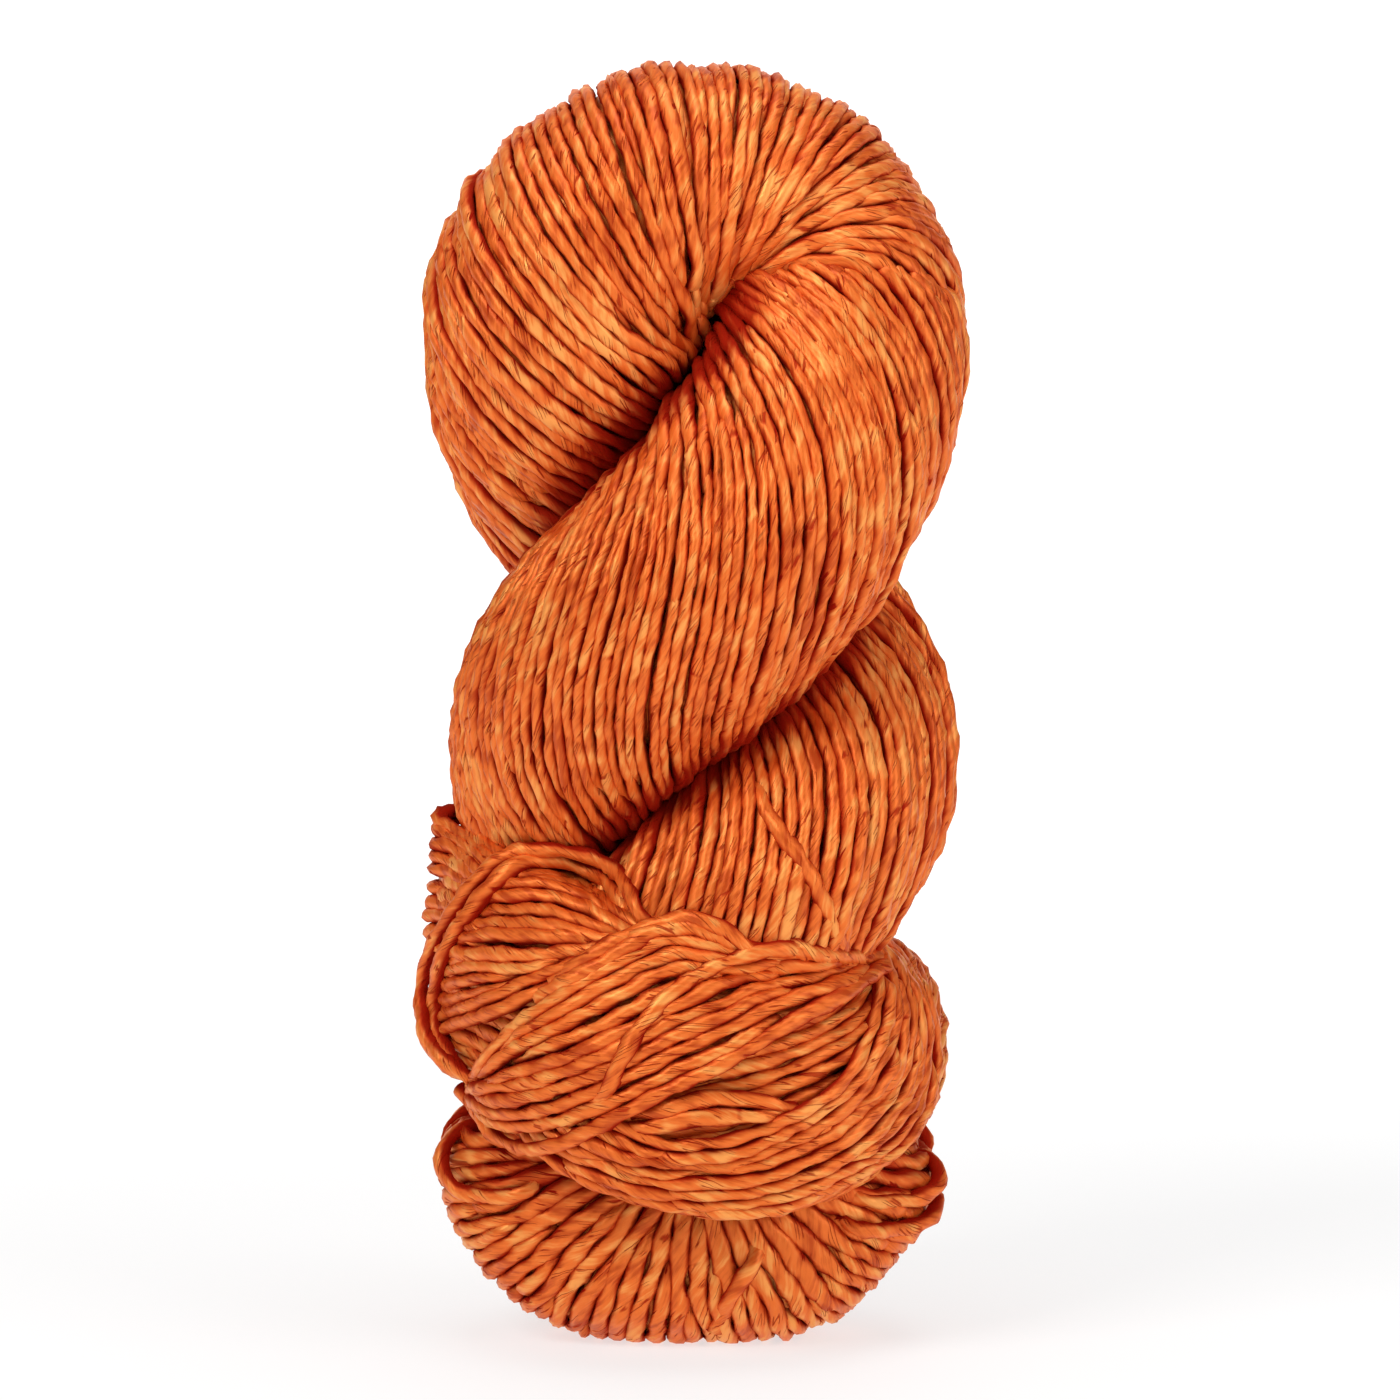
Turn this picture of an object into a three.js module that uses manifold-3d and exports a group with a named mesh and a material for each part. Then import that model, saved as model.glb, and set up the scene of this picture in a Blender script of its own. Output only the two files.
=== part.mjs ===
// A skein of silk yarn: one big loop of yarn, twisted, folded in half and tucked through its own end.
// Its two halves, the plies, wind round each other under a round head. Below them one end of the loop
// lies round the neck as a band, and the other end comes out under the band and spreads as a fan,
// on which the skein stands. Fine turns of yarn aren't modelled here, only the wound form,
// its main twists and broad ribs along the lie of the yarn.
//
// Millimetres, +Z up. The front is seen along +Y, with +X to the right.
// The origin is on the ground, under the middle of the skein.

import * as THREE from 'three';
import { mergeVertices } from 'three/addons/utils/BufferGeometryUtils.js';
import Module from 'manifold-3d';

// Driving dimensions of the two plies and the head
const PLY_RADIUS = 24;
const PLY_REACH = 19.5;
const HEAD_BASE = 172;
const HEAD_RISE = 19;
const HEAD_REACH = 20.3;
const HEAD_RADIUS = 24.6;
const HEAD_THINNING = 2.5;

// Lie of the yarn in the plies: the angle between a strand and its ply
const YARN_ANGLE = 45;
const HEAD_YARN_ANGLE = 62;
const RIBS = 12;
const RIB_HEIGHT = 0.6;
const POINTS_PER_RIB = 3;

// Spacing of the sections
const ROUTE_STEP = 1;
const SECTION_STEP = 5.2;
const BAND_STEPS = 36;
const BAND_POINTS = 24;
const BAND_YARN_TURNS = 0.75;
const FAN_STEPS = 40;
const FAN_POINTS = 18;

// How close to its centre of bending the inside of a bend may come, as a share of the bend's radius
const BEND_LIMIT = 0.85;

// Lay of the plies: at each height, the angle of the band's ply about the upright axis in degrees
// (0 is right, -90 front). The neck's ply is half a turn away.
const LAY = [
  { height: 30, turn: -355 },
  { height: 46, turn: -318 },
  { height: 67, turn: -266 },
  { height: 97, turn: -180 },
  { height: 127, turn: -90 },
  { height: 163, turn: -4 },
  { height: HEAD_BASE, turn: 12 },
  { height: HEAD_BASE + HEAD_RISE, turn: 20 },
];

// Ply that goes down through the band: height, distance from the upright axis, half-width of the ply
const NECK_PLY = [
  { height: 30, reach: 0, radius: 17 },
  { height: 46, reach: 4, radius: 19 },
  { height: 60, reach: 12, radius: 20 },
  { height: 76, reach: 17.5, radius: 22 },
  { height: 97, reach: PLY_REACH, radius: PLY_RADIUS - 0.7 },
  { height: 127, reach: PLY_REACH, radius: PLY_RADIUS },
  { height: 155, reach: PLY_REACH + 0.4, radius: PLY_RADIUS + 0.2 },
  { height: HEAD_BASE, reach: HEAD_REACH, radius: HEAD_RADIUS },
];

// Ply that opens into the band
const BAND_PLY = [
  { height: 56, reach: 25, radius: 13 },
  { height: 66, reach: 22.5, radius: 18 },
  { height: 80, reach: 19, radius: 22 },
  { height: 97, reach: PLY_REACH - 2.7, radius: PLY_RADIUS - 0.9 },
  { height: 112, reach: PLY_REACH - 1.5, radius: PLY_RADIUS - 0.3 },
  { height: 127, reach: PLY_REACH, radius: PLY_RADIUS },
  { height: 155, reach: PLY_REACH + 0.4, radius: PLY_RADIUS + 0.2 },
  { height: HEAD_BASE, reach: HEAD_REACH, radius: HEAD_RADIUS },
];

// Band round the neck: place round the axis in degrees (0 is right, -90 front), distance of its middle
// from the axis, height of its middle, half its height, half its thickness
const BAND = [
  { place: -180, reach: 32.4, height: 64.5, tall: 25.5, thick: 12.3 },
  { place: -135, reach: 31, height: 54.5, tall: 25, thick: 11.8 },
  { place: -90, reach: 30, height: 48, tall: 25.5, thick: 11.2 },
  { place: -45, reach: 31, height: 45.5, tall: 21.5, thick: 10.8 },
  { place: 0, reach: 31.5, height: 48.5, tall: 18, thick: 10.8 },
  { place: 45, reach: 30, height: 50, tall: 18, thick: 10.8 },
  { place: 90, reach: 30, height: 53, tall: 20, thick: 11 },
  { place: 135, reach: 31.5, height: 60, tall: 22, thick: 12 },
  { place: 180, reach: 32.4, height: 64.5, tall: 25.5, thick: 12.3 },
];

// Fan of loop ends under the band: direction of a spoke in degrees from straight down,
// its length from the fan's middle to the rim, half its thickness at the rim
const FAN_MIDDLE_HEIGHT = 38;
const FAN_CORE = 4;
const FAN_NECK_HALF = 19;
const FAN_SQUARENESS = 2.8;
const FAN_RIB_HEIGHT = 0.6;
const FAN_RIBS = 13;
const FAN = [
  { spoke: -93, length: 33, thick: 14 },
  { spoke: -82, length: 41.5, thick: 16 },
  { spoke: -68, length: 45, thick: 18.5 },
  { spoke: -50, length: 44.5, thick: 21 },
  { spoke: -25, length: 41.8, thick: 23 },
  { spoke: 0, length: 39, thick: 23.5 },
  { spoke: 25, length: 41.3, thick: 23 },
  { spoke: 50, length: 42.2, thick: 21 },
  { spoke: 68, length: 42.2, thick: 18.5 },
  { spoke: 82, length: 39, thick: 16 },
  { spoke: 93, length: 32, thick: 14 },
];

const UP = new THREE.Vector3(0, 0, 1);
const { degToRad, clamp } = THREE.MathUtils;

// Smooth value of a named column between the rows of a table, by the place along its key column
function column(rows, key, name, at) {
  let last = rows.findIndex((row) => row[key] >= at);
  last = last < 0 ? rows.length - 1 : Math.max(last, 1);
  const before = rows[Math.max(last - 2, 0)];
  const start = rows[last - 1];
  const end = rows[last];
  const after = rows[Math.min(last + 1, rows.length - 1)];
  const span = end[key] - start[key];
  const t = clamp((at - start[key]) / span, 0, 1);
  const startSlope = ((end[name] - before[name]) / (end[key] - before[key])) * span;
  const endSlope = ((after[name] - start[name]) / (after[key] - start[key])) * span;
  const t2 = t * t;
  const t3 = t2 * t;
  return (2 * t3 - 3 * t2 + 1) * start[name] + (t3 - 2 * t2 + t) * startSlope
    + (3 * t2 - 2 * t3) * end[name] + (t3 - t2) * endSlope;
}

function onPly(height, reach, turnOffset) {
  const turn = degToRad(column(LAY, 'height', 'turn', height)) + turnOffset;
  return new THREE.Vector3(reach * Math.cos(turn), reach * Math.sin(turn), height);
}

// Close stations up the neck's ply, over the head and down the band's ply
function plyRoute() {
  const leg = (rows, turnOffset, part) => {
    const lowest = rows[0].height;
    const steps = Math.round((HEAD_BASE - lowest) / ROUTE_STEP);
    return Array.from({ length: steps }, (_, i) => {
      const height = lowest + ((HEAD_BASE - lowest) * i) / steps;
      const reach = column(rows, 'height', 'reach', height);
      const radius = column(rows, 'height', 'radius', height);
      return { point: onPly(height, reach, turnOffset), radius, yarnAngle: YARN_ANGLE, part };
    });
  };
  const headSteps = Math.round((Math.PI * HEAD_REACH) / ROUTE_STEP);
  const head = Array.from({ length: headSteps + 1 }, (_, i) => {
    const over = (Math.PI * i) / headSteps;
    const rise = Math.sin(over);
    const point = onPly(HEAD_BASE + HEAD_RISE * rise, -HEAD_REACH * Math.cos(over), 0);
    const radius = HEAD_RADIUS - HEAD_THINNING * rise;
    const yarnAngle = THREE.MathUtils.lerp(YARN_ANGLE, HEAD_YARN_ANGLE, rise);
    return { point, radius, yarnAngle, part: 'head' };
  });
  return [...leg(NECK_PLY, Math.PI, 'neck'), ...head, ...leg(BAND_PLY, 0, 'band').reverse()];
}

// The stations of a route that lie about one step apart along it
function evenStations(route, step) {
  const lengths = [0];
  for (let i = 1; i < route.length; i += 1) {
    lengths.push(lengths[i - 1] + route[i].point.distanceTo(route[i - 1].point));
  }
  const total = lengths[lengths.length - 1];
  const count = Math.round(total / step);
  return Array.from({ length: count + 1 }, (_, i) => {
    const at = (total * i) / count;
    const next = Math.max(lengths.findIndex((length) => length >= at), 1);
    const t = (at - lengths[next - 1]) / (lengths[next] - lengths[next - 1]);
    const [from, to] = [route[next - 1], route[next]];
    return {
      point: from.point.clone().lerp(to.point, t),
      radius: THREE.MathUtils.lerp(from.radius, to.radius, t),
      yarnAngle: THREE.MathUtils.lerp(from.yarnAngle, to.yarnAngle, t),
      part: to.part,
    };
  });
}

// Rings of points round the stations, each with broad ribs that follow the lie of the yarn
function plyRings(stations) {
  const count = RIBS * POINTS_PER_RIB;
  const last = stations.length - 1;
  let side = new THREE.Vector3(1, 0, 0);
  let lie = 0;
  return stations.map((station, i) => {
    const toAhead = stations[Math.min(i + 1, last)].point.clone().sub(station.point);
    const toBehind = station.point.clone().sub(stations[Math.max(i - 1, 0)].point);
    const step = Math.max(toAhead.length(), toBehind.length());
    const along = toAhead.clone().add(toBehind).normalize();
    const bend = toAhead.clone().sub(toBehind).divideScalar(step * step);
    bend.addScaledVector(along, -bend.dot(along));
    const inward = bend.clone().normalize();
    const limit = BEND_LIMIT / Math.max(bend.length(), 1e-6);
    side = side.clone().addScaledVector(along, -side.dot(along)).normalize();
    const other = along.clone().cross(side);
    lie -= (Math.tan(degToRad(station.yarnAngle)) * toBehind.length()) / station.radius;
    return Array.from({ length: count }, (_, k) => {
      const angle = (2 * Math.PI * k) / count + lie;
      const rib = RIB_HEIGHT * Math.cos((2 * Math.PI * k) / POINTS_PER_RIB);
      const offset = side.clone().multiplyScalar(Math.cos(angle)).addScaledVector(other, Math.sin(angle));
      offset.multiplyScalar(station.radius + rib);
      offset.addScaledVector(inward, Math.min(limit - offset.dot(inward), 0));
      return offset.add(station.point);
    });
  });
}

// Ring of the band's section at a place round the axis, in the plane through the axis
function bandRing(place) {
  const reach = column(BAND, 'place', 'reach', place);
  const height = column(BAND, 'place', 'height', place);
  const tall = column(BAND, 'place', 'tall', place);
  const thick = column(BAND, 'place', 'thick', place);
  const out = new THREE.Vector3(Math.cos(degToRad(place)), Math.sin(degToRad(place)), 0);
  const lie = degToRad(place + 180) * BAND_YARN_TURNS;
  return Array.from({ length: BAND_POINTS }, (_, k) => {
    const angle = (2 * Math.PI * k) / BAND_POINTS + lie;
    const rib = RIB_HEIGHT * Math.cos((2 * Math.PI * k) / POINTS_PER_RIB);
    return out.clone().multiplyScalar(reach + (thick + rib) * Math.cos(angle))
      .addScaledVector(UP, height + (tall + rib) * Math.sin(angle));
  });
}

// Ring of the fan's section along one spoke: down the front, round the loop end, up the back
function fanRing(spoke) {
  const rib = FAN_RIB_HEIGHT * Math.cos(degToRad(spoke) * FAN_RIBS * 2);
  const length = column(FAN, 'spoke', 'length', spoke) + rib;
  const thick = column(FAN, 'spoke', 'thick', spoke) + rib;
  const down = new THREE.Vector3(Math.sin(degToRad(spoke)), 0, -Math.cos(degToRad(spoke)));
  const middle = new THREE.Vector3(0, 0, FAN_MIDDLE_HEIGHT);
  return Array.from({ length: FAN_POINTS }, (_, k) => {
    const turn = Math.PI * (k / (FAN_POINTS - 1) - 0.5);
    const round = (value) => Math.sign(value) * Math.abs(value) ** (2 / FAN_SQUARENESS);
    const out = FAN_CORE + (length - FAN_CORE) * round(Math.cos(turn));
    const swell = THREE.MathUtils.lerp(FAN_NECK_HALF, thick, clamp(out / length, 0, 1));
    const deep = new THREE.Vector3(0, swell * round(Math.sin(turn)), 0);
    return middle.clone().addScaledVector(down, out).add(deep);
  });
}

// Closed solid through a row of rings with the same number of points: capped at both ends, or closed on
// itself where a number is given, which says by how many points the last ring is turned from the first
function loft(rings, shift, solidOf) {
  const count = rings[0].length;
  const points = rings.flat();
  const faces = [];
  const capped = shift === null;
  const spans = capped ? rings.length - 1 : rings.length;
  for (let i = 0; i < spans; i += 1) {
    const wraps = i === rings.length - 1;
    const here = i * count;
    const next = wraps ? 0 : here + count;
    for (let k = 0; k < count; k += 1) {
      const k2 = (k + 1) % count;
      const nk = wraps ? (k + shift) % count : k;
      const nk2 = (nk + 1) % count;
      faces.push([here + k, here + k2, next + nk2], [here + k, next + nk2, next + nk]);
    }
  }
  if (capped) {
    for (const [ring, start] of [[rings[0], 0], [rings[rings.length - 1], points.length - count]]) {
      const centre = points.length;
      points.push(ring.reduce((sum, p) => sum.add(p), new THREE.Vector3()).multiplyScalar(1 / count));
      for (let k = 0; k < count; k += 1) {
        const k2 = (k + 1) % count;
        faces.push(start === 0 ? [centre, start + k2, start + k] : [centre, start + k, start + k2]);
      }
    }
  }
  return solidOf(points, faces);
}

// Six times the signed volume of a closed mesh: negative when its faces point inward
function signedVolume(points, faces) {
  return faces.reduce((sum, [a, b, c]) => sum + points[a].dot(points[b].clone().cross(points[c])), 0);
}

const wasm = await Module();
wasm.setup();

function solidFromMesh(points, faces) {
  const outward = signedVolume(points, faces) > 0;
  const order = outward ? faces : faces.map(([a, b, c]) => [a, c, b]);
  return new wasm.Manifold(new wasm.Mesh({
    numProp: 3,
    vertProperties: new Float32Array(points.flatMap((p) => p.toArray())),
    triVerts: new Uint32Array(order.flat()),
  }));
}

function solidFromGeometry(geometry) {
  geometry.deleteAttribute('normal');
  geometry.deleteAttribute('uv');
  const merged = mergeVertices(geometry);
  return new wasm.Manifold(new wasm.Mesh({
    numProp: 3,
    vertProperties: new Float32Array(merged.attributes.position.array),
    triVerts: new Uint32Array(merged.index.array),
  }));
}

function geometryFromSolid(solid) {
  const mesh = solid.getMesh();
  const geometry = new THREE.BufferGeometry();
  geometry.setAttribute('position', new THREE.BufferAttribute(mesh.vertProperties, 3));
  geometry.setIndex(new THREE.BufferAttribute(mesh.triVerts, 1));
  geometry.computeVertexNormals();
  return geometry;
}

// The neck's ply, the head and the band's ply are lofted apart, because the plies press into each other
function buildPlies() {
  const stations = evenStations(plyRoute(), SECTION_STEP);
  const rings = plyRings(stations);
  const headStart = stations.findIndex((station) => station.part === 'head');
  const headEnd = stations.findIndex((station) => station.part === 'band');
  const neckPly = loft(rings.slice(0, headStart + 1), null, solidFromMesh);
  const head = loft(rings.slice(headStart, headEnd + 1), null, solidFromMesh);
  const bandPly = loft(rings.slice(headEnd), null, solidFromMesh);
  return neckPly.add(head).add(bandPly);
}

// After one round the yarn comes back to the same ribs, because BAND_YARN_TURNS is a whole number of them
function buildBand() {
  const rings = Array.from({ length: BAND_STEPS }, (_, i) => bandRing(-180 + (360 * i) / BAND_STEPS));
  return loft(rings, Math.round(BAND_YARN_TURNS * BAND_POINTS), solidFromMesh);
}

function buildFan() {
  const first = FAN[0].spoke;
  const last = FAN[FAN.length - 1].spoke;
  const spokes = Array.from({ length: FAN_STEPS + 1 }, (_, i) => first + ((last - first) * i) / FAN_STEPS);
  return loft(spokes.map(fanRing), null, solidFromMesh);
}

// Everything above the ground: the foot of the fan is pressed flat on it
function aboveGround(solid) {
  const side = 400;
  const room = new THREE.BoxGeometry(side, side, side).translate(0, 0, side / 2);
  return solid.intersect(solidFromGeometry(room));
}

// Only the outer skin is kept, so that a pocket sealed between the plies is filled
function withoutPockets(solid) {
  return solid.decompose().reduce((outer, body) => (body.volume() > outer.volume() ? body : outer));
}

const yarn = new THREE.MeshStandardMaterial({ color: 0xd4622a, roughness: 0.45, metalness: 0 });
const skein = withoutPockets(aboveGround(buildPlies().add(buildBand()).add(buildFan())));
const hank = new THREE.Mesh(geometryFromSolid(skein), yarn);
hank.name = 'hank';

const group = new THREE.Group();
group.add(hank);

export default group;
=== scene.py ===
"""Skein of silk yarn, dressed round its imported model.

The skein is one long loop of yarn, twisted, folded in half and tucked through its own end. Every strand
that shows is a twisted tube of its own, laid over the same plies, band and fan that the solid has.
Sizes are in millimetres, and meshes are made in metres.
"""

import logging
import math
from collections import deque
from collections.abc import Mapping, Sequence
from dataclasses import dataclass
from enum import Enum
from typing import Any, NamedTuple

import bpy
import numpy as np
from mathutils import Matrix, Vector
from mathutils.bvhtree import BVHTree

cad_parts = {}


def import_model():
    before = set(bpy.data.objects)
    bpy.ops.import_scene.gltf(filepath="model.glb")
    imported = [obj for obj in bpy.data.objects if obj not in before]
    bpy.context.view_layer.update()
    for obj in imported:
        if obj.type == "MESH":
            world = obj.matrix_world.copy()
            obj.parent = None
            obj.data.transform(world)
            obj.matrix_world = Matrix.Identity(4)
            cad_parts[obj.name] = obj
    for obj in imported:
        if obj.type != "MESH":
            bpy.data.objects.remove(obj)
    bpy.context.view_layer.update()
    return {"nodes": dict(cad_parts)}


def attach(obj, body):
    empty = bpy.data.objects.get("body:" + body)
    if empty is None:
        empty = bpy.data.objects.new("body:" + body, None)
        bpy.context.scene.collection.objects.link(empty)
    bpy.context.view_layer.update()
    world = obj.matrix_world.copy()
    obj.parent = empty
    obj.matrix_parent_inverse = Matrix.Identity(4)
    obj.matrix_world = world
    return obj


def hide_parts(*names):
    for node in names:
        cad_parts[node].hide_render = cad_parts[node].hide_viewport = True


Array = np.ndarray
LOG = logging.getLogger("skein")

MM = 0.001
NODE = "hank"
BODY = "root"

# One strand of the yarn
STRAND_RADIUS = 1.08
FIBRE_PITCH = 14.0
FIBRE_GIRTH = 7.2
# How far painted shade in a crease lowers a strand's rise, which the silk finish paints darker
CREASE_SHADE = 0.85

# How a strand's end goes under its neighbours: over what length, how much painted shade darkens it and how much
# thinner it gets
END_REACH = 5.5
END_SHADE = 0.6
END_THINNING = 0.25

# How strands laid side by side differ in depth and thickness
DEPTH_SWAY = 0.26
DEPTH_SWAY_LENGTH = 15.0
SIZE_SPREAD = 0.05

# How the bake map keeps its strips apart, as shares of a row, and the fewest stations in a row
BAKE_MARGIN = 0.06
BAKE_EDGE = 0.002
BAKE_WIDTH = 0.996
BAKE_LEAST = 4.0

# The two plies and the head, as in the solid
PLY_RADIUS = 24.0
PLY_REACH = 19.5
HEAD_BASE = 172.0
HEAD_RISE = 19.0
HEAD_THINNING = 2.5
HEAD_REACH = 20.3
HEAD_RADIUS = 24.6
RIBS = 12
RIB_HEIGHT = 0.6
BEND_LIMIT = 0.85
SOFTNESS = 1.2
FLOOR_CLEARANCE = 0.02

# How much deeper the band's own yarn lies in front, under the turns that cross it
FRONT_SINK = 2.0

# Points round the band's section that its girth is measured on
SECTION_POINTS = 97

# The fan of loop ends
FAN_MIDDLE_HEIGHT = 38.0
FAN_CORE = 4.0
FAN_NECK_HALF = 19.0
FAN_SQUARENESS = 2.8
FAN_ENDS = (-84.0, 80.0)

# The enlarged photograph that places were picked on: its scale and corner, and the axis, floor and scale in pixels
PICK_ENLARGEMENT = 2.8
PICK_CORNER = (400.0, 820.0)
AXIS_PIXEL = 695.0
FLOOR_PIXEL = 1345.0
PIXELS_A_MILLIMETRE = 6.0


class LayRow(NamedTuple):
    """Angle of the band's ply about the upright axis, in degrees, at a height."""

    height: float
    turn: float


class PlyRow(NamedTuple):
    """Distance of a ply from the upright axis and its half-width, at a height."""

    height: float
    reach: float
    radius: float


class BandRow(NamedTuple):
    """Middle and half sizes of the band's section at a place round the axis, in degrees."""

    place: float
    reach: float
    height: float
    tall: float
    thick: float


class LieRow(NamedTuple):
    """Angle in degrees between the yarn and its ply at a height, and how far a bend leaves it even."""

    height: float
    angle: float
    even: float


class ClimbRow(NamedTuple):
    """Share of the band's girth that its yarn has climbed at a place round the axis."""

    place: float
    climb: float


class FanRow(NamedTuple):
    """Length and half-thickness of the fan along a spoke, in degrees from straight down."""

    spoke: float
    length: float
    thick: float


class Pick(NamedTuple):
    """Place picked on the enlarged photograph, in its pixels from its upper left corner."""

    across: int
    down: int


class LoopRow(NamedTuple):
    """Loop beside the fan: its side, how far out, low and high it comes, and its depth at start and end."""

    side: int
    reach: float
    low: float
    high: float
    front: float
    back: float


class Stray(NamedTuple):
    """A single strand's height over the skin and its line in the front view."""

    lift: float
    line: tuple[Pick, ...]


LAY = (
    LayRow(30, -355),
    LayRow(46, -318),
    LayRow(67, -266),
    LayRow(97, -180),
    LayRow(127, -90),
    LayRow(163, -4),
    LayRow(HEAD_BASE, 12),
    LayRow(HEAD_BASE + HEAD_RISE, 20),
)

YARN_LIE = (
    LieRow(30, 45, 0),
    LieRow(100, 45, 0),
    LieRow(127, 46, 0),
    LieRow(150, 49, 0.6),
    LieRow(HEAD_BASE, 55, 1),
    LieRow(HEAD_BASE + HEAD_RISE, 78, 1),
)

NECK_PLY = (
    PlyRow(30, 0, 17),
    PlyRow(46, 4, 19),
    PlyRow(60, 12, 20),
    PlyRow(76, 17.5, 22),
    PlyRow(97, PLY_REACH, PLY_RADIUS - 0.7),
    PlyRow(127, PLY_REACH, PLY_RADIUS),
    PlyRow(155, PLY_REACH + 0.4, PLY_RADIUS + 0.2),
    PlyRow(HEAD_BASE, HEAD_REACH, HEAD_RADIUS),
)

BAND_PLY = (
    PlyRow(56, 25, 13),
    PlyRow(66, 22.5, 18),
    PlyRow(80, 19, 22),
    PlyRow(97, PLY_REACH - 2.7, PLY_RADIUS - 0.9),
    PlyRow(112, PLY_REACH - 1.5, PLY_RADIUS - 0.3),
    PlyRow(127, PLY_REACH, PLY_RADIUS),
    PlyRow(155, PLY_REACH + 0.4, PLY_RADIUS + 0.2),
    PlyRow(HEAD_BASE, HEAD_REACH, HEAD_RADIUS),
)

BAND = (
    BandRow(-225, 31.5, 60, 22, 12),
    BandRow(-180, 32.4, 64.5, 25.5, 12.3),
    BandRow(-135, 31, 54.5, 25, 11.8),
    BandRow(-90, 30, 48, 25.5, 11.2),
    BandRow(-45, 31, 45.5, 21.5, 10.8),
    BandRow(0, 31.5, 48.5, 18, 10.8),
    BandRow(45, 30, 50, 18, 10.8),
    BandRow(90, 30, 53, 20, 11),
    BandRow(135, 31.5, 60, 22, 12),
)

BAND_CLIMB = (
    ClimbRow(-225, 0.0),
    ClimbRow(-180, 0.06),
    ClimbRow(-90, 0.19),
    ClimbRow(-45, 0.30),
    ClimbRow(0, 0.48),
    ClimbRow(45, 0.62),
    ClimbRow(90, 0.72),
    ClimbRow(135, 0.82),
)

FAN = (
    FanRow(-93, 33, 14),
    FanRow(-82, 41.5, 16),
    FanRow(-68, 45, 18.5),
    FanRow(-50, 44.5, 21),
    FanRow(-25, 41.8, 23),
    FanRow(0, 39, 23.5),
    FanRow(25, 41.3, 23),
    FanRow(50, 42.2, 21),
    FanRow(68, 42.2, 18.5),
    FanRow(82, 39, 16),
    FanRow(93, 32, 14),
)


# Yarn of the band that runs from its lower left to its upper right, on top of the rest
OVERLAP = (
    (
        Pick(158, 785), Pick(175, 765), Pick(200, 735), Pick(262, 655), Pick(330, 592), Pick(400, 545),
        Pick(500, 472), Pick(600, 405), Pick(680, 362), Pick(760, 345), Pick(880, 372), Pick(960, 388),
        Pick(1060, 386), Pick(1150, 390), Pick(1250, 400), Pick(1330, 410), Pick(1362, 418),
    ),
    (
        Pick(152, 792), Pick(175, 778), Pick(210, 755), Pick(340, 695), Pick(500, 650), Pick(650, 600),
        Pick(780, 535), Pick(880, 487), Pick(1000, 452), Pick(1150, 428), Pick(1270, 420),
        Pick(1335, 419), Pick(1368, 424),
    ),
    (
        Pick(155, 778), Pick(185, 805), Pick(225, 845), Pick(270, 885), Pick(330, 910), Pick(400, 908),
        Pick(480, 882), Pick(600, 825), Pick(750, 745), Pick(900, 672), Pick(1000, 612), Pick(1140, 540),
        Pick(1250, 480), Pick(1330, 436), Pick(1362, 424),
    ),
)

# Yarn that comes down at the right and sweeps round under the overlap
UNDERLAP = (
    (
        Pick(1325, 330), Pick(1338, 420), Pick(1342, 500), Pick(1312, 600), Pick(1262, 690),
        Pick(1190, 770), Pick(1100, 845), Pick(980, 905), Pick(850, 930), Pick(740, 922), Pick(640, 880),
        Pick(570, 840), Pick(520, 800),
    ),
    (
        Pick(1345, 320), Pick(1375, 400), Pick(1415, 500), Pick(1432, 600), Pick(1410, 720),
        Pick(1340, 820), Pick(1230, 910), Pick(1100, 970), Pick(950, 1015), Pick(800, 1030),
        Pick(650, 1015), Pick(500, 965), Pick(400, 915), Pick(330, 870),
    ),
    (
        Pick(1340, 300), Pick(1400, 345), Pick(1455, 420), Pick(1500, 510), Pick(1535, 680),
        Pick(1505, 850), Pick(1410, 975), Pick(1250, 1060), Pick(1100, 1108), Pick(950, 1128),
        Pick(800, 1122), Pick(700, 1095), Pick(560, 1050), Pick(450, 1005), Pick(380, 955),
        Pick(300, 880),
    ),
)

# Yarn across the upper left of the band
WRAPS = (
    (
        Pick(110, 232), Pick(215, 195), Pick(300, 172), Pick(400, 165), Pick(480, 182), Pick(560, 228),
        Pick(620, 275), Pick(690, 322), Pick(740, 358),
    ),
    (
        Pick(90, 330), Pick(170, 300), Pick(260, 288), Pick(380, 292), Pick(480, 310), Pick(560, 332),
        Pick(640, 350), Pick(700, 370),
    ),
    (
        Pick(50, 450), Pick(110, 440), Pick(200, 422), Pick(330, 430), Pick(450, 408), Pick(560, 388),
        Pick(650, 355), Pick(710, 340),
    ),
    (
        Pick(40, 590), Pick(100, 562), Pick(180, 540), Pick(280, 500), Pick(380, 455), Pick(480, 420),
        Pick(560, 385), Pick(640, 345), Pick(700, 310),
    ),
    (
        Pick(60, 700), Pick(110, 640), Pick(190, 600), Pick(300, 560), Pick(400, 505), Pick(500, 445),
        Pick(600, 390), Pick(660, 350), Pick(720, 320),
    ),
)

# Turns of the skein that show at the left above the band
TURNS = (
    (
        Pick(150, -8), Pick(118, -4), Pick(94, 0), Pick(82, 8), Pick(92, 18), Pick(120, 30),
        Pick(150, 45), Pick(200, 78), Pick(250, 118), Pick(320, 168),
    ),
    (
        Pick(130, 96), Pick(105, 98), Pick(84, 102), Pick(72, 110), Pick(84, 116), Pick(110, 120),
        Pick(140, 130), Pick(175, 158), Pick(210, 190), Pick(290, 255),
    ),
    (
        Pick(125, 200), Pick(100, 202), Pick(80, 205), Pick(69, 211), Pick(80, 216), Pick(105, 218),
        Pick(125, 222), Pick(155, 234), Pick(185, 250), Pick(265, 292),
    ),
    (
        Pick(122, 304), Pick(98, 305), Pick(78, 308), Pick(67, 313), Pick(78, 318), Pick(100, 320),
        Pick(120, 324), Pick(145, 330), Pick(175, 340), Pick(245, 358),
    ),
    (
        Pick(118, 398), Pick(96, 399), Pick(76, 401), Pick(66, 406), Pick(76, 410), Pick(98, 411),
        Pick(115, 412), Pick(135, 414), Pick(160, 418), Pick(235, 430),
    ),
)

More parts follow.
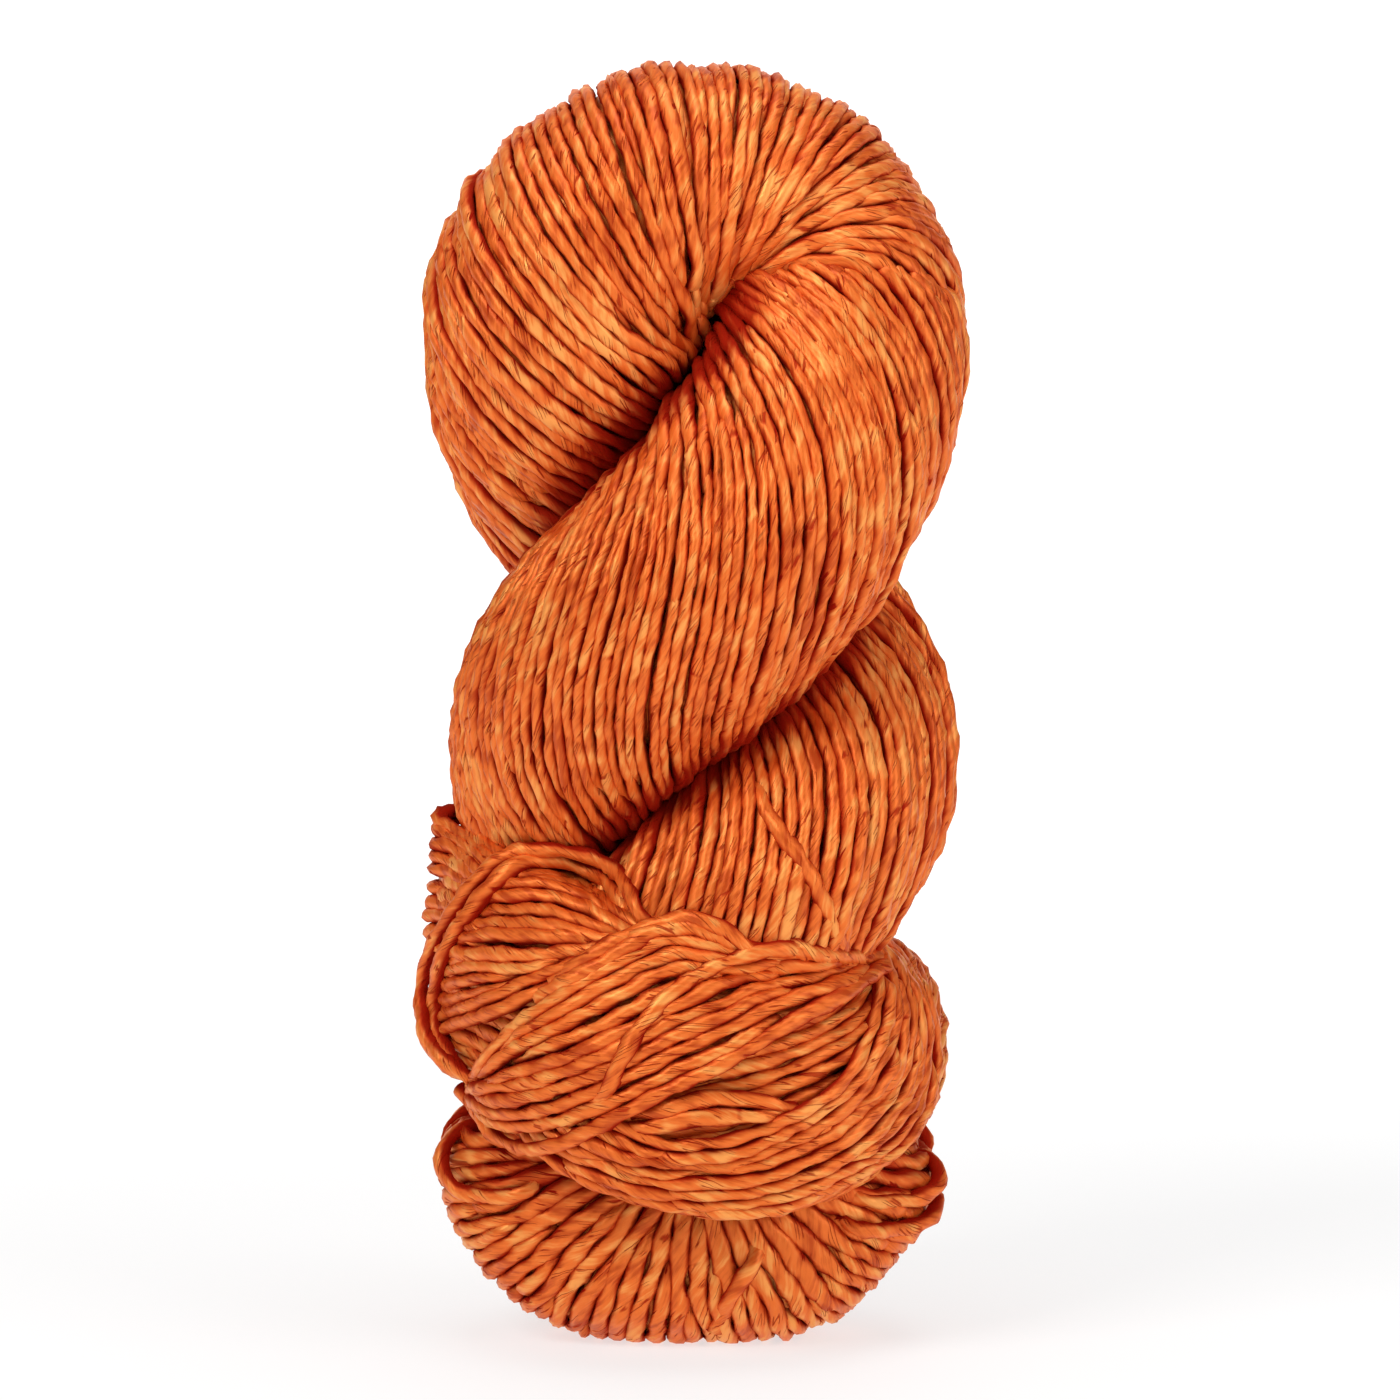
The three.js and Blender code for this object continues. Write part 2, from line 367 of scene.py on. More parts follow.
# Short ends of turns that go in under the overlap
TUCKED = (
    (
        Pick(640, 850), Pick(750, 828), Pick(850, 800), Pick(960, 802), Pick(1040, 812), Pick(1090, 826),
        Pick(1130, 836),
    ),
    (
        Pick(560, 900), Pick(700, 880), Pick(850, 855), Pick(960, 850), Pick(1040, 846), Pick(1110, 838),
    ),
)

# Single turns that lie loose over the others
STRAYS = (
    Stray(
        2.2,
        (
            Pick(720, 330), Pick(668, 280), Pick(640, 215), Pick(600, 158), Pick(520, 118),
            Pick(400, 100), Pick(300, 118), Pick(220, 180), Pick(150, 270), Pick(90, 370), Pick(62, 480),
            Pick(66, 600), Pick(98, 665), Pick(150, 712), Pick(200, 745),
        ),
    ),
    Stray(
        1.7,
        (
            Pick(640, 300), Pick(610, 235), Pick(575, 190), Pick(500, 150), Pick(400, 128),
            Pick(320, 150), Pick(255, 205), Pick(190, 285), Pick(125, 385), Pick(98, 490),
            Pick(100, 600), Pick(130, 665), Pick(170, 720),
        ),
    ),
    Stray(
        0.9,
        (
            Pick(420, 470), Pick(520, 410), Pick(560, 382), Pick(640, 342), Pick(700, 318),
            Pick(800, 292), Pick(880, 310), Pick(940, 350), Pick(990, 380), Pick(1100, 382),
            Pick(1180, 400),
        ),
    ),
    Stray(
        0.9,
        (
            Pick(380, 520), Pick(480, 462), Pick(580, 408), Pick(660, 356), Pick(760, 320),
            Pick(860, 330), Pick(930, 368), Pick(1000, 398),
        ),
    ),
    Stray(
        1.6,
        (
            Pick(520, 830), Pick(560, 800), Pick(592, 750), Pick(622, 680), Pick(700, 562),
            Pick(800, 472), Pick(900, 420), Pick(1000, 388), Pick(1080, 378), Pick(1160, 392),
        ),
    ),
    Stray(
        1.0,
        (
            Pick(165, 772), Pick(195, 800), Pick(225, 842), Pick(262, 900), Pick(330, 935),
            Pick(400, 938), Pick(480, 912), Pick(600, 852), Pick(750, 772), Pick(900, 702),
            Pick(1000, 642), Pick(1140, 560), Pick(1250, 502), Pick(1325, 445), Pick(1358, 425),
        ),
    ),
    Stray(
        0.5,
        (
            Pick(990, 380), Pick(1080, 368), Pick(1150, 388), Pick(1210, 398), Pick(1290, 402),
            Pick(1340, 408),
        ),
    ),
    Stray(
        -0.2,
        (
            Pick(960, -120), Pick(1000, -60), Pick(1035, 10), Pick(1085, 80), Pick(1140, 160),
            Pick(1190, 260), Pick(1235, 370), Pick(1250, 430),
        ),
    ),
    Stray(
        0.8,
        (
            Pick(999, 1178), Pick(999, 1211), Pick(985, 1265), Pick(949, 1316), Pick(918, 1366),
            Pick(893, 1417), Pick(882, 1450),
        ),
    ),
)

# Open loops that stand out at both ends of the fan
END_LOOPS = (
    LoopRow(-1, 42.3, 25.6, 35.8, -18, 2),
    LoopRow(-1, 38.2, 28.3, 35.2, -14, 5),
    LoopRow(-1, 42.0, 24.8, 35.0, -9, 12),
    LoopRow(-1, 41.4, 27.0, 36.5, -2, 18),
    LoopRow(-1, 38.5, 24.0, 33.0, 3, 19),
    LoopRow(1, 40.8, 24.6, 31.0, -17, 4),
    LoopRow(1, 40.4, 19.8, 26.0, -18, 9),
    LoopRow(1, 37.0, 26.0, 33.5, -12, 8),
    LoopRow(1, 40.0, 21.5, 30.0, -5, 16),
    LoopRow(1, 39.0, 25.5, 35.0, 2, 18),
)


class Leg(Enum):
    """Which part of the two plies a station lies on."""

    NECK = 0
    HEAD = 1
    BAND = 2


def column(rows: Sequence[NamedTuple], key: str, name: str, at: Array | float) -> Array:
    """Smooth value of a named column between the rows of a table.

    Args:
        rows: The table, in rising order of its key column.
        key: Name of the column that says where a row stands.
        name: Name of the column wanted.
        at: Places along the key column.

    Returns:
        The column's value at each place.
    """
    return smooth_curve([getattr(row, key) for row in rows], [getattr(row, name) for row in rows], at)


def smooth_curve(keys: Sequence[float], values: Sequence[float], at: Array | float) -> Array:
    """Value at any place of a smooth curve through values at keys, which are in rising order.

    Args:
        keys: Places of the known values.
        values: The known values.
        at: Places wanted.

    Returns:
        The curve's value at each place.
    """
    keys = np.asarray(keys, float)
    values = np.asarray(values, float)
    at = np.clip(np.asarray(at, float), keys[0], keys[-1])
    end = np.clip(np.searchsorted(keys, at), 1, len(keys) - 1)
    start = end - 1
    before = np.maximum(start - 1, 0)
    after = np.minimum(end + 1, len(keys) - 1)
    span = keys[end] - keys[start]
    t = (at - keys[start]) / span
    start_slope = (values[end] - values[before]) / (keys[end] - keys[before]) * span
    end_slope = (values[after] - values[start]) / (keys[after] - keys[start]) * span
    t2 = t * t
    t3 = t2 * t
    return (
        (2 * t3 - 3 * t2 + 1) * values[start]
        + (t3 - 2 * t2 + t) * start_slope
        + (3 * t2 - 2 * t3) * values[end]
        + (t3 - t2) * end_slope
    )


def unit(vectors: Array) -> Array:
    """The vectors at length one."""
    return vectors / np.maximum(np.linalg.norm(vectors, axis=-1, keepdims=True), 1e-9)


def dot(a: Array, b: Array) -> Array:
    """Dot product over the last axis, which is kept."""
    return np.sum(a * b, axis=-1, keepdims=True)


def smooth_step(low: float, high: float, at: Array) -> Array:
    """0 below low, 1 above high and a soft rise between."""
    t = np.clip((at - low) / (high - low), 0, 1)
    return t * t * (3 - 2 * t)


def wander(rng: np.random.Generator, lengths: Array, wavelength: float) -> Array:
    """Slow random waves along strands, each strand with its own.

    Args:
        rng: Seeded source of the waves.
        lengths: Distance along each strand, one row a strand.
        wavelength: Distance between the waves' turning points.

    Returns:
        Values of spread about one, in the shape of lengths.
    """
    knots = int(lengths.max() / wavelength) + 3
    values = rng.standard_normal((lengths.shape[0], knots))
    place = np.clip(lengths / wavelength, 0, knots - 1.001)
    low = place.astype(int)
    t = smooth_step(0, 1, place - low)
    start = np.take_along_axis(values, low, axis=1)
    end = np.take_along_axis(values, low + 1, axis=1)
    return start + (end - start) * t


def averaged(values: Array, half: int) -> Array:
    """Running average over the last axis but one, over so many places on both sides.

    Args:
        values: Vectors along lines.
        half: Places taken in on each side.

    Returns:
        The averages, in the shape of the values.
    """
    padded = np.concatenate([values[..., :1, :]] * half + [values] + [values[..., -1:, :]] * half, axis=-2)
    sums = np.cumsum(np.concatenate([0 * padded[..., :1, :], padded], axis=-2), axis=-2)
    width = 2 * half + 1
    return (sums[..., width:, :] - sums[..., :-width, :]) / width


def lengths_along(points: Array) -> Array:
    """Distance along each line of points, which run along the last axis but one."""
    steps = np.linalg.norm(np.diff(points, axis=-2), axis=-1)
    start = np.zeros((*steps.shape[:-1], 1))
    return np.concatenate([start, np.cumsum(steps, axis=-1)], axis=-1)


@dataclass
class Route:
    """The middle line of the plies, from the neck over the head to the band."""

    points: Array
    radius: Array
    yarn_angle: Array
    leg: Array

    @classmethod
    def of_plies(cls) -> "Route":
        """The whole route in steps of about half a millimetre."""

        def on_ply(height: Array, reach: Array, half_turn: float) -> Array:
            """Places on a ply at heights, so far from the axis."""
            turn = np.radians(column(LAY, "height", "turn", height)) + half_turn
            return np.stack([reach * np.cos(turn), reach * np.sin(turn), height], axis=-1)

        def leg(rows: Sequence[PlyRow], half_turn: float) -> tuple[Array, Array]:
            """Middle line and half-widths of one ply below the head."""
            height = np.arange(rows[0].height, HEAD_BASE, 0.5)
            reach = column(rows, "height", "reach", height)
            return on_ply(height, reach, half_turn), column(rows, "height", "radius", height)

        neck, neck_radius = leg(NECK_PLY, math.pi)
        band, band_radius = leg(BAND_PLY, 0.0)
        over = np.linspace(0, math.pi, int(2 * math.pi * HEAD_REACH))
        height = HEAD_BASE + HEAD_RISE * np.sin(over)
        head = on_ply(height, -HEAD_REACH * np.cos(over), 0.0)
        points = np.concatenate([neck, head, band[::-1]])
        return cls(
            points=points,
            radius=np.concatenate([neck_radius, HEAD_RADIUS - HEAD_THINNING * np.sin(over), band_radius[::-1]]),
            yarn_angle=column(YARN_LIE, "height", "angle", points[:, 2]),
            leg=np.repeat([Leg.NECK.value, Leg.HEAD.value, Leg.BAND.value], [len(neck), len(over), len(band)]),
        )

    def for_yarn(self, step: float) -> "Route":
        """The same route with stations one step of yarn apart, which is less where the yarn lies steep.

        Args:
            step: Millimetres of yarn from one station to the next.

        Returns:
            The route.
        """
        lengths = lengths_along(self.points)
        yarn = np.concatenate([[0], np.cumsum(np.diff(lengths) / np.cos(np.radians(self.yarn_angle[1:])))])
        at = np.interp(np.linspace(0, yarn[-1], int(yarn[-1] / step) + 1), yarn, lengths)
        points = np.stack([np.interp(at, lengths, self.points[:, k]) for k in range(3)], axis=-1)
        nearest = np.searchsorted(lengths, at).clip(0, len(lengths) - 1)
        return Route(
            points=points,
            radius=np.interp(at, lengths, self.radius),
            yarn_angle=np.interp(at, lengths, self.yarn_angle),
            leg=self.leg[nearest],
        )

    def sides(self) -> tuple[Array, Array, Array]:
        """Directions along the route and two across it that don't twist as it bends.

        Returns:
            The three directions at each station.
        """
        lengths = lengths_along(self.points)
        along = unit(np.gradient(self.points, lengths, axis=0))
        side = np.zeros_like(along)
        held = np.array([1.0, 0.0, 0.0])
        for i, ahead in enumerate(along):
            held = held - ahead * held.dot(ahead)
            held /= np.linalg.norm(held)
            side[i] = held
        return along, side, np.cross(along, side)


@dataclass
class Strand:
    """One strand: middle line, way out, half-width, half-height, own tone and how much painted shade it gets in
    creases.
    """

    middle: Array
    outward: Array
    wide: Array
    high: Array
    tone: float
    crease_shade: Array | float = 0.0


def strand_sizes(room: Array, usual: float = STRAND_RADIUS, fill: float = 1.02) -> tuple[Array, Array]:
    """Half-width and half-height of a strand that has a given room between its neighbours.

    Args:
        room: Distance that it may take up, along it.
        usual: Its radius where nothing presses it.
        fill: Its width against its room.

    Returns:
        Half-width and half-height along it.
    """
    wide = np.clip(room * fill / 2, 0.66 * usual, 1.45 * usual)
    return wide, np.clip(usual**2 / wide, 0.78 * usual, 1.2 * usual)


@dataclass
class Laying:
    """Lays strands side by side on a surface whose slots run along the yarn.

    A strand ends where its neighbours crowd it, and a new one starts where a gap opens.
    """

    spacing: float
    step: float
    rng: np.random.Generator
    closed: bool = True
    crowding: float = 0.66
    shortest: float = 11.0
    reaches: tuple[float, ...] = (1.0, 0.7)
    look_every: int = 5
    rounds: int = 14
    softness: float = 6.0
    tries: int = 40
    unevenness: float = 0.06
    widest_gap: float = 1.5
    open_gap: float = 2.6
    easing: float = 0.35
    sway: float = 0.22
    sway_length: float = 20.0
    waver: float = 0.12
    waver_length: float = 8.0

    def lay(self, points: Array, shown: Array) -> tuple[Array, Array, Array, Array]:
        """Chooses the strands.

        Args:
            points: The surface, one row a station along the yarn and one column a slot across it.
            shown: Whether each of its points can be seen.

        Returns:
            First and last stations of the strands, slot of each strand at each station, and its room there.
        """
        girth = self._girth(points)
        lines = self._lines(girth, shown)
        first = np.array([line[1] for line in lines])
        last = np.array([line[2] for line in lines])
        held = np.array([girth[:, line[0]] for line in lines])
        stations = np.arange(shown.shape[0])
        active = (stations >= first[:, None]) & (stations < last[:, None])
        spread, room = self._spread(held, active, girth)
        length = np.broadcast_to(stations * self.step, spread.shape)
        spread = spread + self.sway * wander(self.rng, length, self.sway_length)
        spread = spread + self.waver * wander(self.rng, length, self.waver_length)
        slot = np.empty_like(spread)
        shares = np.arange(girth.shape[1]) / (girth.shape[1] - 1)
        for s in stations:
            if self.closed:
                across = np.mod(spread[:, s], girth[s, -1])
            else:
                across = np.clip(spread[:, s], 0, girth[s, -2])
            slot[:, s] = np.interp(across, girth[s], shares)
        return first, last, slot, room

    @staticmethod
    def _girth(points: Array) -> Array:
        """Distance square to the yarn from the first slot to each slot, at each station."""
        along = unit(np.gradient(points, axis=0))
        gap = np.roll(points, -1, axis=1) - points
        gap = np.linalg.norm(gap - dot(gap, along) * along, axis=-1)
        return np.concatenate([np.zeros((len(gap), 1)), np.cumsum(gap, axis=1)], axis=1)

    def _lines(self, girth: Array, shown: Array) -> list[tuple[int, int, int]]:
        """Slot, first and last station of each strand.

        Args:
            girth: Distances of the slots.
            shown: Whether each place can be seen.

        Returns:
            One row a strand.
        """
        taken = ~shown
        lines: list[tuple[int, int, int]] = []
        queue: deque[tuple[int, int, int]] = deque()

        def try_at(station: int, slot: int) -> None:
            """Starts a strand there, if there is room for it."""
            if taken[station, slot]:
                return
            after = np.flatnonzero(taken[station:, slot])
            before = np.flatnonzero(taken[: station + 1, slot])
            last = station + after[0] if len(after) else len(taken)
            first = before[-1] + 1 if len(before) else 0
            if (last - first) * self.step < self.shortest:
                return
            own = girth[first:last, slot, None]
            away = np.abs(girth[first:last, :-1] - own)
            away = np.minimum(away, girth[first:last, -1:] - away)
            taken[first:last] |= away < self.crowding * self.spacing
            lines.append((slot, first, last))
            look_from(lines[-1])

        def look_from(line: tuple[int, int, int]) -> None:
            """Notes the places beside a strand where its neighbours may start."""
            slot, first, last = line
            for s in range(first, last, self.look_every):
                queue.extend(((s, slot, -1), (s, slot, 1)))

        for reach in self.reaches:
            for line in list(lines):
                look_from(line)
            for s in range(0, len(taken), 2 * self.look_every):
                for start in self.rng.permutation(shown.shape[1])[: self.tries]:
                    try_at(s, int(start))
                    while queue:
                        station, slot, way = queue.popleft()
                        away = way * reach * self.spacing * math.exp(self.rng.normal(0, self.unevenness))
                        target = (girth[station, slot] + away) % girth[station, -1]
                        try_at(station, int(np.searchsorted(girth[station], target)) % shown.shape[1])
        return lines

    def _spread(self, held: Array, active: Array, girth: Array) -> tuple[Array, Array]:
        """Evens out the strands' distances, softly along them.

        Args:
            held: Where each strand lies across the yarn, at each station.
            active: Where each strand is on the surface.
            girth: Distances of the slots.

        Returns:
            Where the strands lie then, and the room of each.
        """
        start = held.copy()
        widest = self.widest_gap * self.spacing
        gaps = np.full((2, *held.shape), self.spacing)
        for _ in range(self.rounds):
            for s in range(held.shape[1]):
                who = np.flatnonzero(active[:, s])
                if len(who) < 2:
                    continue
                who = who[np.argsort(held[who, s])]
                ahead = np.roll(held[who, s], -1)
                ahead[-1] += girth[s, -1]
                gap = ahead - held[who, s]
                gap = np.where(gap > self.open_gap * self.spacing, self.spacing, np.minimum(gap, widest))
                gaps[1, who, s] = gap
                gaps[0, who, s] = np.roll(gap, 1)
            moved = held - start + np.where(active, self.easing * (gaps[1] - gaps[0]), 0)
            held = start + self._blurred(moved, active)
        room = self._blurred((gaps[0] + gaps[1]) / 2, active)
        return held, room

    def _blurred(self, values: Array, active: Array) -> Array:
        """Values averaged along each strand, with its end values kept on beyond its ends.

        Args:
            values: One row a strand.
            active: Where each strand is on the surface.

        Returns:
            The averaged values.
        """
        out = values.copy()
        half = max(1, int(self.softness / self.step))
        kernel = np.ones(2 * half + 1) / (2 * half + 1)
        for row, on in zip(out, active):
            inside = np.flatnonzero(on)
            first, last = inside[0], inside[-1] + 1
            padded = np.pad(row[first:last], half, mode="edge")
            row[first:last] = np.convolve(padded, kernel, mode="valid")
            row[:first] = row[first]
            row[last:] = row[last - 1]
        return out


@dataclass
class YarnMesh:
    """Makes one mesh of twisted, uneven tubes from strands."""

    sides: int = 10
    seed: int = 0
    flatness: float = 0.15
    lumpiness: float = 0.075
    third_share: float = 0.45
    pitch_spread: float = 0.12
    twist_sway: float = 0.5
    twist_sway_length: float = 9.0
    lump_length: float = 3.4
    long_lump: float = 0.9
    long_lump_length: float = 8.0

    def build(self, name: str, strands: Sequence[Strand], finish: bpy.types.Material) -> bpy.types.Object:
        """The mesh object of the strands, in metres, with its yarn and bake maps.

        Args:
            name: Name of the piece.
            strands: Strands to sweep.
            finish: Material of the yarn.

        Returns:
            The object, linked to the scene.
        """
        rng = np.random.default_rng(self.seed)
        verts, quads, caps, yarn, yarn_caps, bake, bake_caps, tones, shading_rises = ([] for _ in range(9))
        total = sum(float(lengths_along(strand.middle)[-1]) for strand in strands)
        strip = math.sqrt(total * FIBRE_GIRTH)
        rows = self._bake_rows(strands, strip)
        start = 0
        for strand, own_rows in zip(strands, rows):
            ring, length, twist = self._tube(strand, rng)
            stations = len(ring)
            verts.append(ring.reshape(-1, 3))
            verts.append(strand.middle[[0, -1]])
            quad, corner = self._quads(stations)
            quads.append(quad + start)
            cap, cap_corner = self._caps(stations)
            caps.append(cap + start)
            yarn.append(self._yarn_map(corner, length, twist))
            yarn_caps.append(self._yarn_map(cap_corner, length, twist))
            bake.append(self._bake_map(corner, stations, own_rows))
            bake_caps.append(self._bake_map(cap_corner, stations, own_rows))
            tones.append(np.full(stations * self.sides + 2, strand.tone))
            # Painted shade: the rise round each ring, lowered in creases, under the band and at tucked ends, sets
            # where the finish paints deep red
            sunk = CREASE_SHADE * np.broadcast_to(strand.crease_shade, stations)[:, None]
            rise = np.sin(self._angles())[None, :] - sunk
            shading_rises.append(np.concatenate([rise.ravel(), [0.0, 0.0]]))
            start += stations * self.sides + 2
        mesh = bpy.data.meshes.new(name)
        fill_mesh(mesh, np.concatenate(verts), [np.concatenate(quads), np.concatenate(caps)])
        height = rows[-1][1] + rows[-1][2]
        baked = np.concatenate(bake + bake_caps) / np.array([1.0, height])
        for map_name, values in (("Yarn", np.concatenate(yarn + yarn_caps)), ("OFBake", baked)):
            layer = mesh.uv_layers.new(name=map_name, do_init=False)
            layer.uv.foreach_set("vector", values.astype(np.float32).ravel())
        mesh.uv_layers["OFBake"].active_render = True
        mesh.uv_layers.active = mesh.uv_layers["OFBake"]
        for attribute_name, values in (("strand_tone", tones), ("strand_shading_rise", shading_rises)):
            attribute = mesh.attributes.new(attribute_name, "FLOAT", "POINT")
            attribute.data.foreach_set("value", np.concatenate(values).astype(np.float32))
        return link_piece(name, mesh, finish)

    def _angles(self) -> Array:
        """Angle of each side of a tube, from across it toward out."""
        return 2 * math.pi * np.arange(self.sides) / self.sides - math.pi / 2

    def _tube(self, strand: Strand, rng: np.random.Generator) -> tuple[Array, Array, Array]:
        """Rings of one strand, its length and its fibres' turn at each station.

        Args:
            strand: The strand.
            rng: Seeded source of its unevenness.

        Returns:
            Its rings in millimetres, the distance along it and the turn of its fibres.
        """
        length = lengths_along(strand.middle)
        along = unit(np.gradient(strand.middle, axis=0))
        out = unit(strand.outward - dot(strand.outward, along) * along)
        across = np.cross(along, out)
        pitch = FIBRE_PITCH * math.exp(rng.normal(0, self.pitch_spread))
        twist = rng.uniform(0, 2 * math.pi) - 2 * math.pi * length / pitch
        twist += self.twist_sway * wander(rng, length[None], self.twist_sway_length)[0]
        lump = wander(rng, length[None], self.lump_length)[0]
        lump = lump + self.long_lump * wander(rng, length[None], self.long_lump_length)[0]
        lump = self.lumpiness * lump
        third = rng.uniform(0, 2 * math.pi)
        angle = self._angles()
        turned = angle[None, :] - twist[:, None]
        swell = 1 + lump[:, None] + self.flatness * np.cos(2 * turned)
        swell += self.third_share * self.flatness * np.cos(3 * turned + third)
        flat = strand.wide[:, None] * swell * np.cos(angle)
        tall = strand.high[:, None] * swell * np.sin(angle)
        ring = strand.middle[:, None, :] + flat[..., None] * across[:, None, :] + tall[..., None] * out[:, None, :]
        ring[..., 2] = np.maximum(ring[..., 2], FLOOR_CLEARANCE)
        return ring, length, twist

    def _quads(self, stations: int) -> tuple[Array, Array]:
        """Quads of one tube, and the station and side of each corner.

        Args:
            stations: Rings of the tube.

        Returns:
            The quads and their corners.
        """
        k = self.sides
        station, side = np.meshgrid(np.arange(stations - 1), np.arange(k), indexing="ij")
        here = station * k + side
        beside = station * k + (side + 1) % k
        quads = np.stack([here, here + k, beside + k, beside], axis=-1).reshape(-1, 4)
        corner = np.stack(
            [
                np.stack([station, side], -1),
                np.stack([station + 1, side], -1),
                np.stack([station + 1, side + 1], -1),
                np.stack([station, side + 1], -1),
            ],
            axis=-2,
        )
        return quads, corner.reshape(-1, 4, 2)

    def _caps(self, stations: int) -> tuple[Array, Array]:
        """Triangles that close both ends of one tube, and the station and side of each corner.

        Args:
            stations: Rings of the tube.

        Returns:
            The triangles and their corners.
        """
        k = self.sides
        side = np.arange(k)
        beside = (side + 1) % k
        middle = np.full(k, stations * k)
        last = (stations - 1) * k
        faces = np.concatenate(
            [
                np.stack([middle, side, beside], -1),
                np.stack([middle + 1, last + beside, last + side], -1),
            ]
        )
        here = np.stack([0 * side, side], -1)
        there = np.stack([0 * side, side + 1], -1)
        end = np.array([stations - 1, 0])
        corner = np.concatenate(
            [np.stack([here, here, there], -2), np.stack([here + end, there + end, here + end], -2)]
        )
        return faces, corner

    def _yarn_map(self, corner: Array, length: Array, twist: Array) -> Array:
        """Millimetres round and along the fibres at each corner."""
        station, side = corner[..., 0], corner[..., 1]
        around = side / self.sides - 0.25 - twist[station] / (2 * math.pi)
        return np.stack([around * FIBRE_GIRTH, length[station]], -1).reshape(-1, 2)

    @staticmethod
    def _bake_rows(strands: Sequence[Strand], strip: float) -> list[tuple[float, int, int]]:
        """Length of a strip in stations, first row and number of rows of each strand on the bake map.

        Args:
            strands: The strands.
            strip: Length of a strip in millimetres.

        Returns:
            One row a strand.
        """
        rows = []
        first = 0
        for strand in strands:
            stations = len(strand.middle)
            step = float(lengths_along(strand.middle)[-1]) / (stations - 1)
            per_row = max(BAKE_LEAST, math.floor(strip / step))
            count = math.ceil((stations - 1) / per_row)
            rows.append((per_row, first, count))
            first += count
        return rows

    def _bake_map(self, corner: Array, stations: int, rows: tuple[float, int, int]) -> Array:
        """Place of each corner on the bake map: strips one above the other.

        Args:
            corner: Station and side of each corner.
            stations: Rings of the tube.
            rows: The strand's rows on the map.

        Returns:
            The places, in rows.
        """
        per_row, first, count = rows
        station, side = corner[..., 0], corner[..., 1]
        face = np.minimum(station.min(axis=-1, keepdims=True), stations - 2)
        row = np.floor(face / per_row)
        across = BAKE_EDGE + BAKE_WIDTH * (station - row * per_row) / per_row
        up = first + row + BAKE_MARGIN + (1 - 2 * BAKE_MARGIN) * side / self.sides
        return np.stack([across, up], -1).reshape(-1, 2)


def fill_mesh(mesh: bpy.types.Mesh, verts: Array, faces: list[Array]) -> None:
    """Writes vertices in millimetres and faces to a mesh, and shades it smooth.

    Args:
        mesh: The empty mesh.
        verts: Its vertices.
        faces: Groups of faces, each with as many corners as the others in its group.
    """
    sizes = np.concatenate([np.full(len(f), f.shape[1]) for f in faces])
    loops = np.concatenate([f.ravel() for f in faces])
    mesh.vertices.add(len(verts))
    mesh.vertices.foreach_set("co", (verts * MM).astype(np.float32).ravel())
    mesh.loops.add(len(loops))
    mesh.loops.foreach_set("vertex_index", loops.astype(np.int32))
    mesh.polygons.add(len(sizes))
    starts = np.concatenate([[0], np.cumsum(sizes)[:-1]])
    mesh.polygons.foreach_set("loop_start", starts.astype(np.int32))
    mesh.polygons.foreach_set("use_smooth", np.ones(len(sizes), bool))
    mesh.update(calc_edges=True)
    mesh.validate()


def link_piece(name: str, mesh: bpy.types.Mesh, finish: bpy.types.Material) -> bpy.types.Object:
    """A new object of the mesh, with its finish."""
    piece = bpy.data.objects.new(name, mesh)
    mesh.materials.append(finish)
    bpy.context.scene.collection.objects.link(piece)
    return piece


class Value:
    """A number that varies over a surface, with arithmetic that adds Math nodes."""

    def __init__(self, sheet: "Sheet", socket: bpy.types.NodeSocket) -> None:
        """Wraps a socket of a sheet's node tree."""
        self.sheet = sheet
        self.socket = socket

    def _maths(self, operation: str, *values: "Value | float") -> "Value":
        """The result of one Math node."""
        node = self.sheet.node("ShaderNodeMath", {"operation": operation}, dict(enumerate(values)))
        return Value(self.sheet, node.outputs[0])

    def __add__(self, other: "Value | float") -> "Value":
        """This plus the other."""
        return self._maths("ADD", self, other)

    def __radd__(self, other: float) -> "Value":
        """A number plus this."""
        return self._maths("ADD", other, self)

    def __sub__(self, other: "Value | float") -> "Value":
        """This less the other."""
        return self._maths("SUBTRACT", self, other)

    def __rsub__(self, other: float) -> "Value":
        """A number less this."""
        return self._maths("SUBTRACT", other, self)

    def __mul__(self, other: "Value | float") -> "Value":
        """This times the other."""
        return self._maths("MULTIPLY", self, other)

    def __rmul__(self, other: float) -> "Value":
        """A number times this."""
        return self._maths("MULTIPLY", other, self)

    def clipped(self) -> "Value":
        """This kept between 0 and 1."""
        node = self.sheet.node("ShaderNodeClamp", {}, {"Value": self})
        return Value(self.sheet, node.outputs[0])

    def ramp(self, low: float, high: float) -> "Value":
        """Soft step from 0 to 1 as this goes from low to high."""
        sockets = {"Value": self, "From Min": low, "From Max": high}
        node = self.sheet.node("ShaderNodeMapRange", {"interpolation_type": "SMOOTHSTEP"}, sockets)
        return Value(self.sheet, node.outputs[0])


